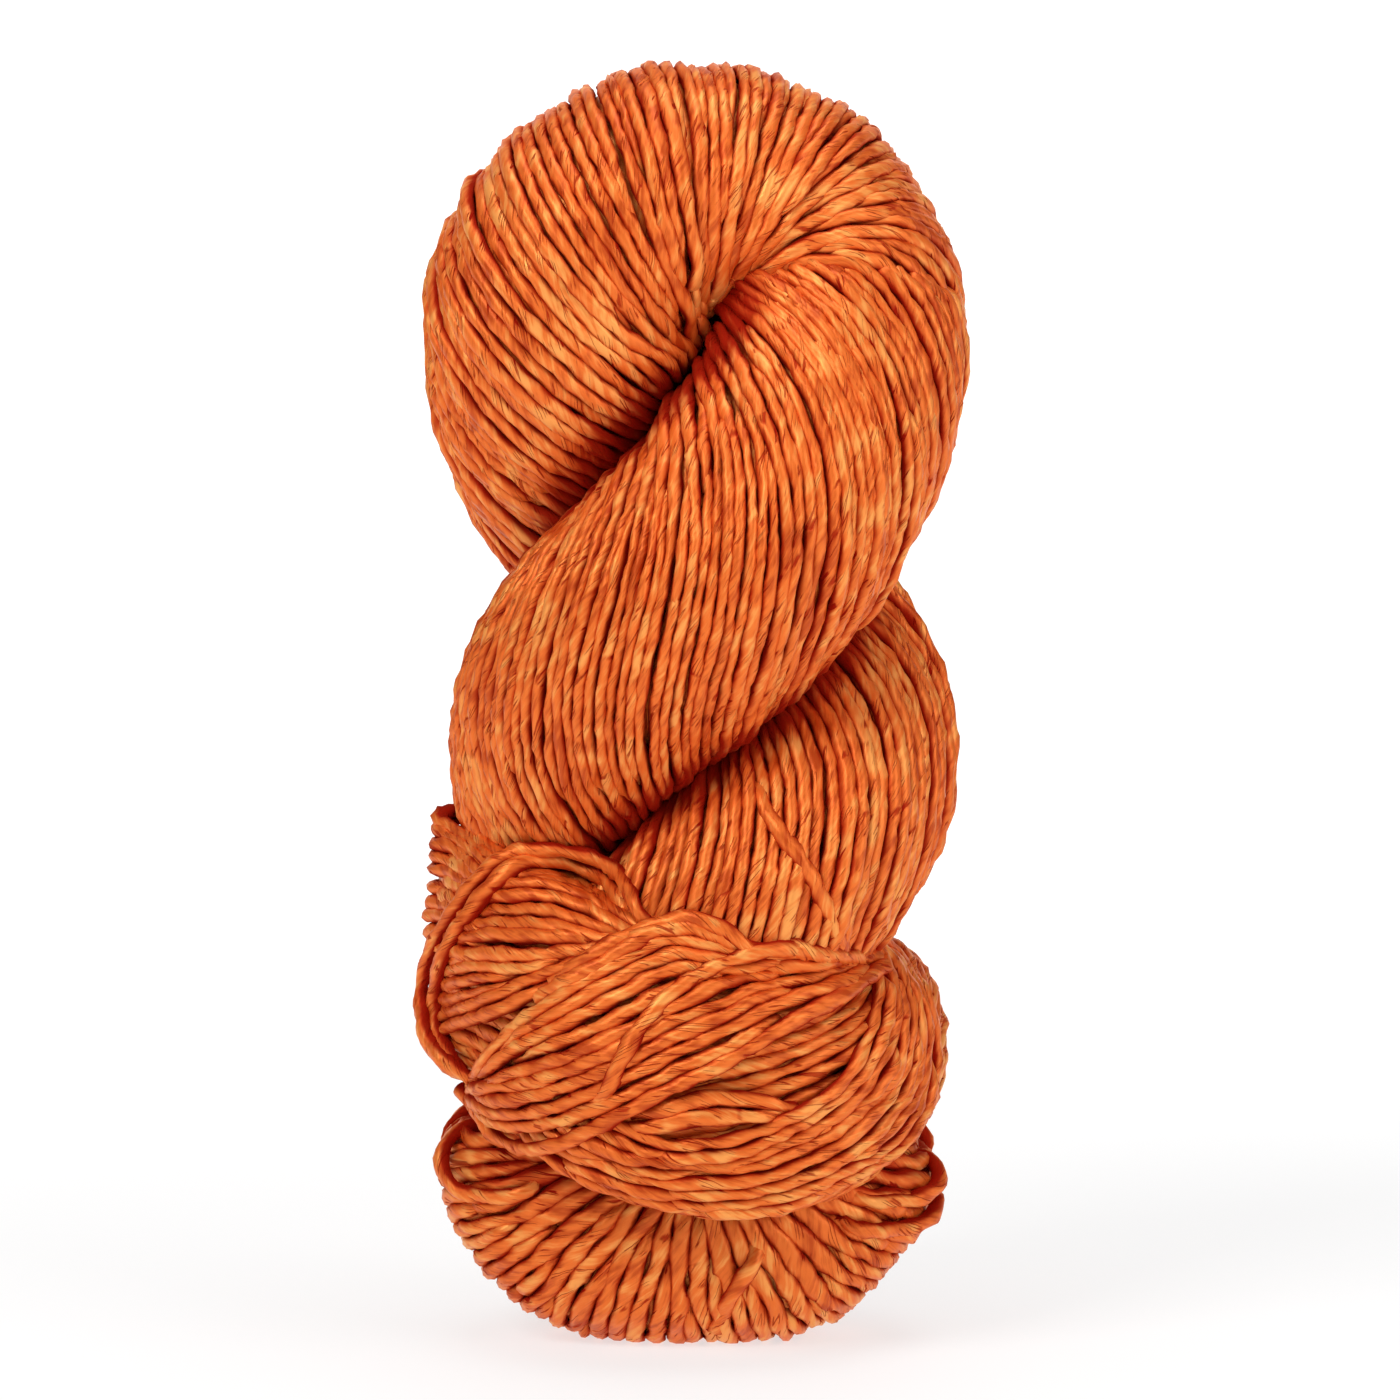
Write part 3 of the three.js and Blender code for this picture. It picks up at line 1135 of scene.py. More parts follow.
class Sheet:
    """A material's node tree, filled by expressions."""

    def __init__(self, name: str) -> None:
        """Starts a material with a bare Principled shader."""
        self.material = bpy.data.materials.new(name)
        self.material.use_nodes = True
        self.tree = self.material.node_tree
        self.tree.nodes.clear()
        self.shader = self.tree.nodes.new("ShaderNodeBsdfPrincipled")
        output = self.tree.nodes.new("ShaderNodeOutputMaterial")
        self.tree.links.new(self.shader.outputs[0], output.inputs["Surface"])

    def node(
        self, kind: str, settings: Mapping[str, Any], sockets: Mapping[int | str, Any]
    ) -> bpy.types.Node:
        """Adds a node, sets it up and fills its sockets.

        Args:
            kind: Type of the node.
            settings: Its settings, such as an operation, set before its sockets.
            sockets: A value, a vector, a Value or a socket for each input, by name or place.

        Returns:
            The node.
        """
        node = self.tree.nodes.new(kind)
        for name, value in settings.items():
            setattr(node, name, value)
        for where, value in sockets.items():
            self.feed(node.inputs[where], value)
        return node

    def feed(self, target: bpy.types.NodeSocket, value: Any) -> None:
        """Sets a socket to a constant or links a value to it."""
        source = value.socket if isinstance(value, Value) else value
        if isinstance(source, bpy.types.NodeSocket):
            self.tree.links.new(source, target)
        else:
            target.default_value = source

    def noise(self, vector: Any, scale: float, detail: float = 2.0, roughness: float = 0.5) -> Value:
        """Noise of about 0 to 1 over a vector."""
        node = self.node(
            "ShaderNodeTexNoise",
            {"noise_dimensions": "3D"},
            {"Vector": vector, "Scale": scale, "Detail": detail, "Roughness": roughness},
        )
        return Value(self, node.outputs[0])

    def blend(self, share: Value | float, first: Any, second: Any) -> bpy.types.NodeSocket:
        """Colour that goes from the first to the second as share goes from 0 to 1."""
        node = self.node("ShaderNodeMix", {"data_type": "RGBA"}, {0: share, 6: first, 7: second})
        return node.outputs[2]


Colour = tuple[float, float, float, float]


@dataclass(frozen=True)
class SilkFinish:
    """Hand-dyed, loosely spun silk: satin strands with painted shade in deep red on their sides and between them,
    painted gold highlights on their raised fibres mixed with random dye tone, and fine dark gaps in the fibres.
    """

    name: str = "silk_yarn"
    # Painted shade: deep red for the strands' sides, undersides, creases and the gaps between them, also the
    # colour of the fibres' fine dark gaps
    shade_and_hairline_red: Colour = (0.40, 0.004, 0.0004, 1.0)
    # deep, body and gold: the silk's own dye tones; deep also serves as painted shade on low fibres and gold as
    # painted highlight on raised ones
    deep: Colour = (0.58, 0.056, 0.004, 1.0)
    body: Colour = (0.88, 0.160, 0.022, 1.0)
    gold_tone_and_highlight: Colour = (0.99, 0.360, 0.085, 1.0)
    roughness: float = 0.40
    fibre_depth: float = 0.14
    fine_grain: tuple[float, float] = (3.0, 0.22)
    broad_grain: tuple[float, float] = (0.8, 0.17)
    hairline_grain: tuple[float, float] = (1.5, 0.09)
    hairline_patches: tuple[float, float] = (0.5, 0.30)
    hairline_thinness: float = 700.0
    dye_scale: float = 60.0
    patch_scale: float = 230.0
    specular: float = 0.9
    shine: Colour = (1.0, 0.68, 0.28, 1.0)

    def material(self) -> bpy.types.Material:
        """The finished material."""
        sheet = Sheet(self.name)
        yarn = sheet.node("ShaderNodeUVMap", {"uv_map": "Yarn"}, {})
        split = sheet.node("ShaderNodeSeparateXYZ", {}, {0: yarn.outputs[0]})
        around = Value(sheet, split.outputs[0])
        along = Value(sheet, split.outputs[1])
        tone, rise = (
            Value(sheet, sheet.node("ShaderNodeAttribute", {"attribute_name": name}, {}).outputs[2])
            for name in ("strand_tone", "strand_shading_rise")
        )
        place = sheet.node("ShaderNodeTexCoord", {}, {}).outputs["Object"]

        def stretched(across_scale: float, along_scale: float, shift: float) -> bpy.types.NodeSocket:
            """Fibre place with its own scales across and along the fibres."""
            node = sheet.node(
                "ShaderNodeCombineXYZ",
                {},
                {0: around * across_scale, 1: along * along_scale, 2: tone * 91.0 + shift},
            )
            return node.outputs[0]

        fine = sheet.noise(stretched(*self.fine_grain, 0.0), 1.0, 3.0, 0.6)
        broad = sheet.noise(stretched(*self.broad_grain, 7.0), 1.0, 2.0, 0.5)
        hairline = sheet.noise(stretched(*self.hairline_grain, 19.0), 1.0, 0.0, 0.5)
        where = sheet.noise(stretched(*self.hairline_patches, 31.0), 1.0, 0.0, 0.5)
        dye = sheet.noise(place, self.dye_scale, 2.0, 0.5)
        patch = sheet.noise(place, self.patch_scale, 1.0, 0.5)

        nearness = hairline - 0.5
        line = (1 - (nearness * nearness * self.hairline_thinness).clipped()) * where.ramp(0.52, 0.62)
        # Random dye tone mixed with painted highlight and shade: the fibre grain that raises the bump also turns
        # the colour gold where it is high and deep where it is low
        tone_and_painted_light = (fine - 0.5) * 0.6 + (broad - 0.5) * 1.5 + (tone - 0.5) * 0.30
        tone_and_painted_light = tone_and_painted_light + (dye - 0.5) * 0.8 + (patch - 0.5) * 0.9
        tone_and_light_share = (tone_and_painted_light + 0.5).clipped()
        colour = sheet.blend(tone_and_light_share.ramp(0.05, 0.5), self.deep, self.body)
        colour = sheet.blend(tone_and_light_share.ramp(0.5, 0.95), colour, self.gold_tone_and_highlight)
        # Painted shade: strongest on a strand's sides and underside and where its rise was lowered for a crease,
        # weaker on raised fibres; the fibres' dark gaps are added to it below
        painted_shade_mask = (1 - (rise + (broad - 0.5) * 0.5).ramp(0.05, 0.90)).clipped()
        shade_and_hairlines = (painted_shade_mask * 0.97 + line * 0.8).clipped()
        colour = sheet.blend(shade_and_hairlines, colour, self.shade_and_hairline_red)
        rough = self.roughness + (fine - 0.5) * 0.30 + line * 0.25 + painted_shade_mask * 0.35
        height = fine * 0.45 + broad * 0.6 - line * 0.9
        bump = sheet.node(
            "ShaderNodeBump", {}, {"Strength": 1.0, "Distance": self.fibre_depth * MM, "Height": height}
        )
        shader = sheet.shader.inputs
        sheet.feed(shader["Base Color"], colour)
        sheet.feed(shader["Roughness"], rough.clipped())
        sheet.feed(shader["Normal"], bump.outputs[0])
        sheet.feed(shader["Metallic"], (shade_and_hairlines * 0.50 + 0.25).clipped())
        shader["Specular IOR Level"].default_value = self.specular
        shader["Specular Tint"].default_value = self.shine
        return sheet.material


@dataclass(frozen=True)
class CoreShadeFinish:
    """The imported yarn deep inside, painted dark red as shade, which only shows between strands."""

    name: str = "core_painted_shade"
    # Painted shade: dark red for yarn that is the same dyed silk, only in shade
    colour: Colour = (0.26, 0.006, 0.0006, 1.0)
    brighter: Colour = (0.45, 0.018, 0.001, 1.0)
    grain: float = 420.0
    relief: float = 0.4
    roughness: float = 0.55
    specular: float = 0.2

    def material(self) -> bpy.types.Material:
        """The finished material."""
        sheet = Sheet(self.name)
        place = sheet.node("ShaderNodeTexCoord", {}, {}).outputs["Object"]
        lines = sheet.noise(place, self.grain, 3.0, 0.6)
        sheet.feed(sheet.shader.inputs["Base Color"], sheet.blend(lines, self.colour, self.brighter))
        sheet.feed(sheet.shader.inputs["Roughness"], self.roughness + lines * 0.3)
        bump = sheet.node("ShaderNodeBump", {}, {"Strength": 0.8, "Distance": self.relief * MM, "Height": lines})
        sheet.feed(sheet.shader.inputs["Normal"], bump.outputs[0])
        sheet.shader.inputs["Specular IOR Level"].default_value = self.specular
        return sheet.material


@dataclass(frozen=True)
class Layer:
    """One layer of strands: how deep its middle lies, how far apart and how finely made."""

    depth: float
    spacing: float
    step: float
    sides: int
    seed: int
    radius: float = STRAND_RADIUS


@dataclass
class Surface:
    """A surface that yarn is laid on: stations along the yarn, slots across it from 0 to 1."""

    stations: int = 0
    slots: int = 1200
    closed: bool = True
    shortest: float = 11.0

    def at(self, station: Array, slot: Array, depth: Array | float) -> tuple[Array, Array]:
        """Points under the surface and which way is out there."""
        raise NotImplementedError

    def shown(self, station: Array, slot: Array) -> Array:
        """Whether the surface can be seen there."""
        raise NotImplementedError

    def crease_shade(self, station: Array, slot: Array) -> Array:
        """How much painted shade the surface gets there for lying in a crease, from 0 to 1."""
        return np.zeros(np.broadcast(station, slot).shape)

    def strands(self, layer: Layer, dive: float = 2.4) -> list[Strand]:
        """Strands laid side by side all over the surface.

        Args:
            layer: How deep, how far apart and how finely.
            dive: How far an end goes under its neighbours.

        Returns:
            The strands.
        """
        rng = np.random.default_rng(layer.seed)
        shares = np.arange(self.slots) / self.slots
        station, slot = np.meshgrid(np.arange(self.stations), shares, indexing="ij")
        points, _ = self.at(station, slot, layer.depth)
        shown = self.shown(station, slot)
        laying = Laying(layer.spacing, layer.step, rng, self.closed, shortest=self.shortest)
        first, last, slots, room = laying.lay(points, shown)
        reach = int(END_REACH / layer.step)
        made = []
        for a, b, across, gap in zip(first, last, slots, room):
            begin, end = max(a - reach, 0), min(b + reach, self.stations)
            place = np.arange(begin, end)
            length = place * layer.step
            under = np.maximum(smooth_step(a + 2, a - reach, place), smooth_step(b - 2, b + reach, place))
            depth = layer.depth + DEPTH_SWAY * wander(rng, length[None], DEPTH_SWAY_LENGTH)[0] + dive * under
            middle, outward = self.at(place, across[place], depth)
            # Painted shade from the surface's creases, and where an end goes under its neighbours
            crease_shade = np.maximum(self.crease_shade(place, across[place]), END_SHADE * under)
            usual = layer.radius * math.exp(rng.normal(0, SIZE_SPREAD))
            wide, high = strand_sizes(gap[place] * (1 - END_THINNING * under), usual)
            made.append(Strand(middle, outward, wide, high, rng.uniform(0, 1), crease_shade))
        return made

    def shell(self, depth: float, every: int, around: int, closed: bool) -> tuple[Array, list[Array]]:
        """Points and faces of a plain skin under the surface.

        Args:
            depth: How far under.
            every: Stations from one ring to the next.
            around: Points in a ring.
            closed: Whether the rings are closed, and the skin then capped at both ends.

        Returns:
            Its points and its groups of faces.
        """
        rings = np.arange(0, self.stations, every)
        station, slot = np.meshgrid(rings, np.linspace(0, 1, around, endpoint=not closed), indexing="ij")
        points, _ = self.at(station, slot, depth)
        gaps = around if closed else around - 1
        ring, k = np.meshgrid(np.arange(len(rings) - 1), np.arange(gaps), indexing="ij")
        here, beside = ring * around + k, ring * around + (k + 1) % around
        faces = [np.stack([here, beside, beside + around, here + around], axis=-1).reshape(-1, 4)]
        points = points.reshape(-1, 3)
        if closed:
            k = np.arange(around)
            last = len(points) - around
            ends = np.stack([points[:around].mean(axis=0), points[last:].mean(axis=0)])
            first_cap = np.stack([0 * k + len(points), (k + 1) % around, k], axis=-1)
            last_cap = np.stack([0 * k + len(points) + 1, last + k, last + (k + 1) % around], axis=-1)
            points = np.concatenate([points, ends])
            faces.append(np.concatenate([first_cap, last_cap]))
        return points, faces


class PlySurface(Surface):
    """The two plies and the head: one bundle of yarn that goes up, over and down again."""

    bend_blur: int = 4
    least_stretch: float = 0.3
    ply_gap: float = 1.0
    # How far painted shade reaches out from the other ply and into the head's pit
    crease_shade_reach: tuple[float, float] = (9.0, 0.5)
    pit_shade_reach: tuple[float, float] = (0.1, 3.0)
    hidden_push: float = 3.2
    band_margin: float = 2.5
    lowest: float = 45.0

    def __init__(self, step: float) -> None:
        """The bundle with stations a step of yarn apart."""
        self.route = Route.of_plies().for_yarn(step)
        super().__init__(stations=len(self.route.points))
        self.along, self.side, self.other = self.route.sides()
        lengths = lengths_along(self.route.points)
        bend = np.gradient(self.along, lengths, axis=0)
        bend = bend - dot(bend, self.along) * self.along
        blur = np.ones(2 * self.bend_blur + 1) / (2 * self.bend_blur + 1)
        padded = np.pad(bend, ((self.bend_blur, self.bend_blur), (0, 0)), mode="edge")
        bend = np.stack([np.convolve(padded[:, k], blur, "valid") for k in range(3)], -1)
        self.limit = BEND_LIMIT / np.maximum(np.linalg.norm(bend, axis=-1), 1e-6)
        self.inward = unit(bend)
        self.turned = self._turned(np.diff(lengths, prepend=0), bend)
        legs = self.route.leg
        self.own_side = np.where(legs == Leg.NECK.value, -1.0, np.where(legs == Leg.BAND.value, 1.0, 0.0))

    def _turned(self, steps: Array, bend: Array) -> Array:
        """Angle round the ply of the yarn of each slot at each station.

        Args:
            steps: Distance of each station from the one before.
            bend: How the route bends there.

        Returns:
            The angles, one row a station.
        """
        even = column(YARN_LIE, "height", "even", self.route.points[:, 2])
        side_bend = np.sum(bend * self.side, axis=-1) * even * self.route.radius
        other_bend = np.sum(bend * self.other, axis=-1) * even * self.route.radius
        pace = -np.tan(np.radians(self.route.yarn_angle)) * steps / self.route.radius
        angle = 2 * math.pi * np.arange(self.slots + 1) / self.slots
        rows = []
        for i in range(self.stations):
            stretch = 1 - side_bend[i] * np.cos(angle) - other_bend[i] * np.sin(angle)
            angle = angle + pace[i] * np.clip(stretch, self.least_stretch, None)
            rows.append(angle)
        return np.array(rows)

    def _angle(self, station: Array, slot: Array) -> Array:
        """Angle round the ply of the yarn of any slot, also between two of the table's."""
        share = np.mod(slot, 1.0) * self.slots
        low = np.minimum(share.astype(int), self.slots - 1)
        start = self.turned[station, low]
        return start + (self.turned[station, low + 1] - start) * (share - low)

    def _placed(self, station: Array, slot: Array, depth: Array | float) -> tuple[Array, Array, Array, Array]:
        """Points, their ply's middles, how far they were pushed apart, and how much painted shade they get in a
        crease.

        Args:
            station: Stations.
            slot: Slots.
            depth: How far under the skin.

        Returns:
            The four, in the shape of the stations and slots.
        """
        turn = 2 * math.pi * slot
        angle = self._angle(station, slot)
        radius = self.route.radius[station] + RIB_HEIGHT * np.cos(RIBS * turn) - depth
        offset = np.cos(angle)[..., None] * self.side[station]
        offset = offset + np.sin(angle)[..., None] * self.other[station]
        offset = offset * radius[..., None]
        inside = np.sum(offset * self.inward[station], axis=-1)
        over = SOFTNESS * np.logaddexp(0, (inside - self.limit[station]) / SOFTNESS)
        offset = offset - over[..., None] * self.inward[station]
        middle = self.route.points[station]
        points = middle + offset
        facing = np.radians(column(LAY, "height", "turn", points[..., 2]))
        normal = np.stack([np.cos(facing), np.sin(facing), np.zeros_like(facing)], axis=-1)
        own = self.own_side[station]
        away = np.sum(points * normal, axis=-1) * own
        push = SOFTNESS * np.logaddexp(0, (self.ply_gap - away) / SOFTNESS) * np.abs(own)
        points = points + (push * own)[..., None] * normal
        # Painted shade near the other ply and in the head's pit
        between = smooth_step(*self.crease_shade_reach, away) * np.abs(own)
        crease_shade = np.maximum(between, smooth_step(*self.pit_shade_reach, over))
        return points, middle, np.maximum(over, push), crease_shade

    def at(self, station: Array, slot: Array, depth: Array | float) -> tuple[Array, Array]:
        """Points under the bundle's skin and which way is out there."""
        points, middle, _, _ = self._placed(station, slot, depth)
        return points, unit(points - middle)

    def crease_shade(self, station: Array, slot: Array) -> Array:
        """How much painted shade the yarn gets there, between the plies or in the head's pit, from 0 to 1."""
        return self._placed(station, slot, 0.0)[3]

    def shown(self, station: Array, slot: Array) -> Array:
        """Whether the skin is outside the other ply and the band."""
        points, _, pushed, _ = self._placed(station, slot, 0.0)
        inside, _ = in_band(points, self.band_margin)
        return (pushed < self.hidden_push) & ~inside & (points[..., 2] >= self.lowest)


def in_band(points: Array, margin: float) -> tuple[Array, Array]:
    """Whether points lie in the band.

    Args:
        points: The points.
        margin: How far under the band's skin they have to lie.

    Returns:
        Whether each lies there, and the height of the band's middle beside it.
    """
    place = np.degrees(np.arctan2(points[..., 1], points[..., 0]))
    place = np.where(place > BAND[-1].place, place - 360, place)
    reach = np.hypot(points[..., 0], points[..., 1])
    height = column(BAND, "place", "height", place)
    thick = column(BAND, "place", "thick", place) - margin
    tall = column(BAND, "place", "tall", place) - margin
    across = (reach - column(BAND, "place", "reach", place)) / thick
    up = (points[..., 2] - height) / tall
    return across**2 + up**2 < 1, height


class BandSurface(Surface):
    """The loop end that lies round the neck, one turn and a little more."""

    yarn_to_a_degree: float = 0.72
    sink_start: tuple[float, float] = (-172.0, -150.0)
    sink_end: tuple[float, float] = (2.0, -22.0)
    hidden_side: float = -0.35

    def __init__(self, step: float) -> None:
        """The band with stations a step of yarn apart, roughly."""
        self.first, self.last = BAND[0].place, BAND[-1].place
        self.degrees = step / self.yarn_to_a_degree
        super().__init__(stations=int((self.last - self.first) / self.degrees) + 1)

    def at(self, station: Array, slot: Array, depth: Array | float) -> tuple[Array, Array]:
        """Points under the band's skin and which way is out there."""
        place = self.first + np.asarray(station) * self.degrees
        climb = column(BAND_CLIMB, "place", "climb", place)
        sunk = FRONT_SINK * smooth_step(*self.sink_start, place) * smooth_step(*self.sink_end, place)
        return band_skin(place, slot + climb, depth + sunk)

    def shown(self, station: Array, slot: Array) -> Array:
        """Whether the skin there isn't against the neck."""
        points, outward = self.at(station, slot, 0.0)
        flat = unit(points * np.array([1.0, 1.0, 0.0]))
        return np.sum(outward * flat, axis=-1) > self.hidden_side


def band_skin(place: Array, girth: Array, depth: Array | float) -> tuple[Array, Array]:
    """Points on or under the band's skin.

    Args:
        place: Angle round the axis in degrees.
        girth: Share of the way round the section, from its outermost point upward.
        depth: How far under the skin.

    Returns:
        The points, and which way is out at each.
    """
    reach = column(BAND, "place", "reach", place)
    height = column(BAND, "place", "height", place)
    tall = column(BAND, "place", "tall", place)
    thick = column(BAND, "place", "thick", place)
    around = np.linspace(0, 2 * math.pi, SECTION_POINTS)
    run = lengths_along(np.stack([np.cos(around), float(np.mean(tall / thick)) * np.sin(around)], axis=-1))
    angle = np.interp(np.mod(girth, 1.0), run / run[-1], around)
    out = np.stack([np.cos(np.radians(place)), np.sin(np.radians(place)), np.zeros_like(place)], axis=-1)
    up = np.array([0.0, 0.0, 1.0])
    normal = unit((np.cos(angle) / thick)[..., None] * out + (np.sin(angle) / tall)[..., None] * up)
    point = (reach + thick * np.cos(angle))[..., None] * out
    point = point + (height + tall * np.sin(angle))[..., None] * up
    return point - np.asarray(depth)[..., None] * normal, normal


class FanSurface(Surface):
    """The other loop end: strands come down the front, turn round and go up the back."""

    yarn: float = 120.0
    # Painted shade on the fan close under the band: how much, over which heights, and how far out to the sides it
    # reaches
    band_shade_share: float = 0.6
    band_shade_heights: tuple[float, float] = (19.0, 31.0)
    band_shade_sides: tuple[float, float] = (40.0, 32.0)
    band_margin: float = 4.0
    neck_reach: float = 28.0
    neck_base: float = 30.0

    def __init__(self, step: float, lean: float) -> None:
        """The fan with stations a step of yarn apart, and its strands leaning aside."""
        super().__init__(stations=int(self.yarn / step), closed=False)
        self.lean = lean

    @staticmethod
    def _spoke(slot: Array) -> Array:
        """Spoke of a slot where its strand doesn't lean."""
        return FAN[0].spoke + (FAN[-1].spoke - FAN[0].spoke) * np.asarray(slot)

    def at(self, station: Array, slot: Array, depth: Array | float) -> tuple[Array, Array]:
        """Points under the fan's skin and which way is out there.

        Args:
            station: Stations.
            slot: Slots.
            depth: How far under the skin.

        Returns:
            The points and the directions.
        """
        turn = (np.asarray(station) / (self.stations - 1) - 0.5) * math.pi
        spoke = self._spoke(slot)
        spoke = spoke + self.lean * np.sin(turn) * np.cos(np.radians(spoke))
        reach = column(FAN, "spoke", "length", spoke) - depth
        thick = column(FAN, "spoke", "thick", spoke) - depth

        def rounded(value: Array) -> Array:
            """The value bent to the fan's squarish section."""
            return np.sign(value) * np.abs(value) ** (2 / FAN_SQUARENESS)

        out = FAN_CORE + (reach - FAN_CORE) * rounded(np.cos(turn))
        swell = (FAN_NECK_HALF - depth) + (thick - FAN_NECK_HALF + depth) * np.clip(out / reach, 0, 1)
        deep = swell * rounded(np.sin(turn))
        down = np.radians(spoke)
        points = np.stack([out * np.sin(down), deep, FAN_MIDDLE_HEIGHT - out * np.cos(down)], axis=-1)
        points[..., 2] = np.maximum(points[..., 2], STRAND_RADIUS)
        flat = np.cos(turn)
        outward = unit(np.stack([np.sin(down) * flat, np.sin(turn) + 0 * down, -np.cos(down) * flat], axis=-1))
        return points, outward

    def crease_shade(self, station: Array, slot: Array) -> Array:
        """How much painted shade the fan's skin gets there, close under the band, from 0 to 1."""
        points, _ = self.at(station, slot, 0.0)
        under = smooth_step(*self.band_shade_heights, points[..., 2])
        return self.band_shade_share * under * smooth_step(*self.band_shade_sides, np.abs(points[..., 0]))

    def shown(self, station: Array, slot: Array) -> Array:
        """Whether the fan's skin there is below the band."""
        points, _ = self.at(station, slot, 0.0)
        height = points[..., 2]
        spoke = self._spoke(slot)
        inside, middle = in_band(points, self.band_margin)
        neck = (np.hypot(points[..., 0], points[..., 1]) < self.neck_reach) & (height > self.neck_base)
        return (spoke > FAN_ENDS[0]) & (spoke < FAN_ENDS[1]) & ~inside & (height <= middle) & ~neck


@dataclass
class FrontView:
    """The view from the camera, which finds the place on the solid that shows at a spot."""

    skin: BVHTree
    distance: float
    elevation: float
    aim: tuple[float, float, float]
    search: float = 0.5
    farthest: int = 40

    def _rays(self, spots: Array) -> tuple[Array, Array]:
        """The camera's place and the directions of its rays through spots, in millimetres.

        Args:
            spots: Places in the front view.

        Returns:
            The place and the directions.
        """
        tilt = math.radians(self.elevation)
        up = np.array([0.0, math.sin(tilt), math.cos(tilt)])
        back = np.array([0.0, -math.cos(tilt), math.sin(tilt)])
        aim = np.array(self.aim)
        eye = aim + back * self.distance
        middle_up = aim[2] * math.cos(tilt) + aim[1] * math.sin(tilt)
        across = (spots[..., :1] - aim[0]) * np.array([1.0, 0.0, 0.0])
        return eye, unit(aim + across + (spots[..., 1:] - middle_up) * up - eye)

    def toward(self, points: Array) -> Array:
        """Directions from points to the camera."""
        eye, _ = self._rays(points[..., :2])
        return unit(eye - points)

    def _hit(self, eye: Array, spot: Array) -> tuple[float, Array]:
        """Distance and normal of the solid at a spot, or at the nearest spot inward where it misses.

        Args:
            eye: The camera's place.
            spot: Place in the front view.

        Returns:
            The distance in millimetres and the normal.
        """
        for i in range(self.farthest):
            inward = spot * np.array([max(0.0, 1 - i * self.search / max(abs(spot[0]), 1e-6)), 1.0])
            _, ray = self._rays(inward)
            _, normal, _, far = self.skin.ray_cast(Vector(eye * MM), Vector(ray))
            if normal is not None:
                return far / MM, np.array(normal)
        raise ValueError(f"nothing shows near {spot}")

    def drape(self, spots: Array, half: int) -> tuple[Array, Array]:
        """Lays lines over the solid.

        Args:
            spots: Places in the front view, along the last axis but one.
            half: Places on both sides over which the lay is smoothed.

        Returns:
            Points on the solid and which way is out at each.
        """
        eye, rays = self._rays(spots)
        hits = [self._hit(eye, spot) for spot in spots.reshape(-1, 2)]
        far = np.array([hit[0] for hit in hits]).reshape(*spots.shape[:-1], 1)
        out = np.array([hit[1] for hit in hits]).reshape(*spots.shape[:-1], 3)
        far = averaged(averaged(far, half), half)
        return eye + rays * far, unit(averaged(averaged(out, half), half))


def front_places(line: Sequence[Pick]) -> Array:
    """Where picks lie in the front view.

    Args:
        line: The picks.

    Returns:
        Millimetres right of the axis and up from the floor right under it, to the tenth.
    """
    pixels = np.array(line, float) / PICK_ENLARGEMENT + np.array(PICK_CORNER)
    right = (pixels[:, 0] - AXIS_PIXEL) / PIXELS_A_MILLIMETRE
    up = (FLOOR_PIXEL - pixels[:, 1]) / PIXELS_A_MILLIMETRE
    return np.round(np.stack([right, up], axis=-1), 1)


def even_line(line: Sequence[Pick], count: int) -> Array:
    """So many evenly spaced spots along a smooth line through spots.

    Args:
        line: Picks that the line goes through.
        count: How many spots.

    Returns:
        The spots, in millimetres of the front view.
    """
    spots = front_places(line)
    keys = lengths_along(spots)
    close = np.linspace(0, keys[-1], 12 * len(spots))
    curve = np.stack([smooth_curve(keys, spots[:, k], close) for k in range(2)], axis=-1)
    lengths = lengths_along(curve)
    at = np.linspace(0, lengths[-1], count)
    return np.stack([np.interp(at, lengths, curve[:, k]) for k in range(2)], axis=-1)


class DrapedSurface(Surface):
    """A sheet of yarn that lies over the skein between guide lines of the front view."""

    slack: float = 1.12
    slots_across: int = 240
    columns_a_gap: int = 8
    smoothing: float = 3.0
    behind_reach: float = 7.0
    behind_bend: float = 1.5
    tuck: float = 5.0
    last_slot: float = 0.97

    def __init__(self, view: FrontView, sheaf: "Sheaf") -> None:
        """The sheet of a sheaf, with stations about a step of yarn apart."""
        guides, step = sheaf.guides, sheaf.layer.step
        longest = max(float(lengths_along(front_places(guide))[-1]) for guide in guides)
        super().__init__(int(self.slack * longest / step), self.slots_across, False, sheaf.shortest)
        self.step = step
        self.lift = sheaf.lift
        lines = np.array([even_line(guide, self.stations) for guide in guides])
        self.columns = self.columns_a_gap * (len(guides) - 1) + 1
        share = np.linspace(0, 1, self.columns)
        keys = np.linspace(0, 1, len(guides))
        spots = np.array(
            [[np.interp(share, keys, lines[:, s, k]) for k in range(2)] for s in range(self.stations)]
        )
        self.points, self.out = view.drape(spots.transpose(2, 0, 1), max(1, int(self.smoothing / step)))
        place = np.arange(self.stations) * step
        behind = sheaf.behind * smooth_step(self.behind_reach, 0.0, place) ** self.behind_bend
        self.points = self.points - behind[None, :, None] * view.toward(self.points)

    def at(self, station: Array, slot: Array, depth: Array | float) -> tuple[Array, Array]:
        """Points under the sheet's top and which way is out there.

        Args:
            station: Stations.
            slot: Slots.
            depth: How far under the top.

        Returns:
            The points and the directions.
        """
        share = np.clip(slot, 0, 1) * (self.columns - 1)
        low = np.minimum(np.asarray(share).astype(int), self.columns - 2)
        t = (share - low)[..., None]
        outward = unit(self.out[low, station] * (1 - t) + self.out[low + 1, station] * t)
        points = self.points[low, station] * (1 - t) + self.points[low + 1, station] * t
        return points + (self.lift - np.asarray(depth)[..., None]) * outward, outward

    def shown(self, station: Array, slot: Array) -> Array:
        """Whether the sheet isn't tucked in there."""
        tucked = self.tuck / self.step
        return (station > tucked) & (station < self.stations - 1 - tucked) & (slot < self.last_slot)


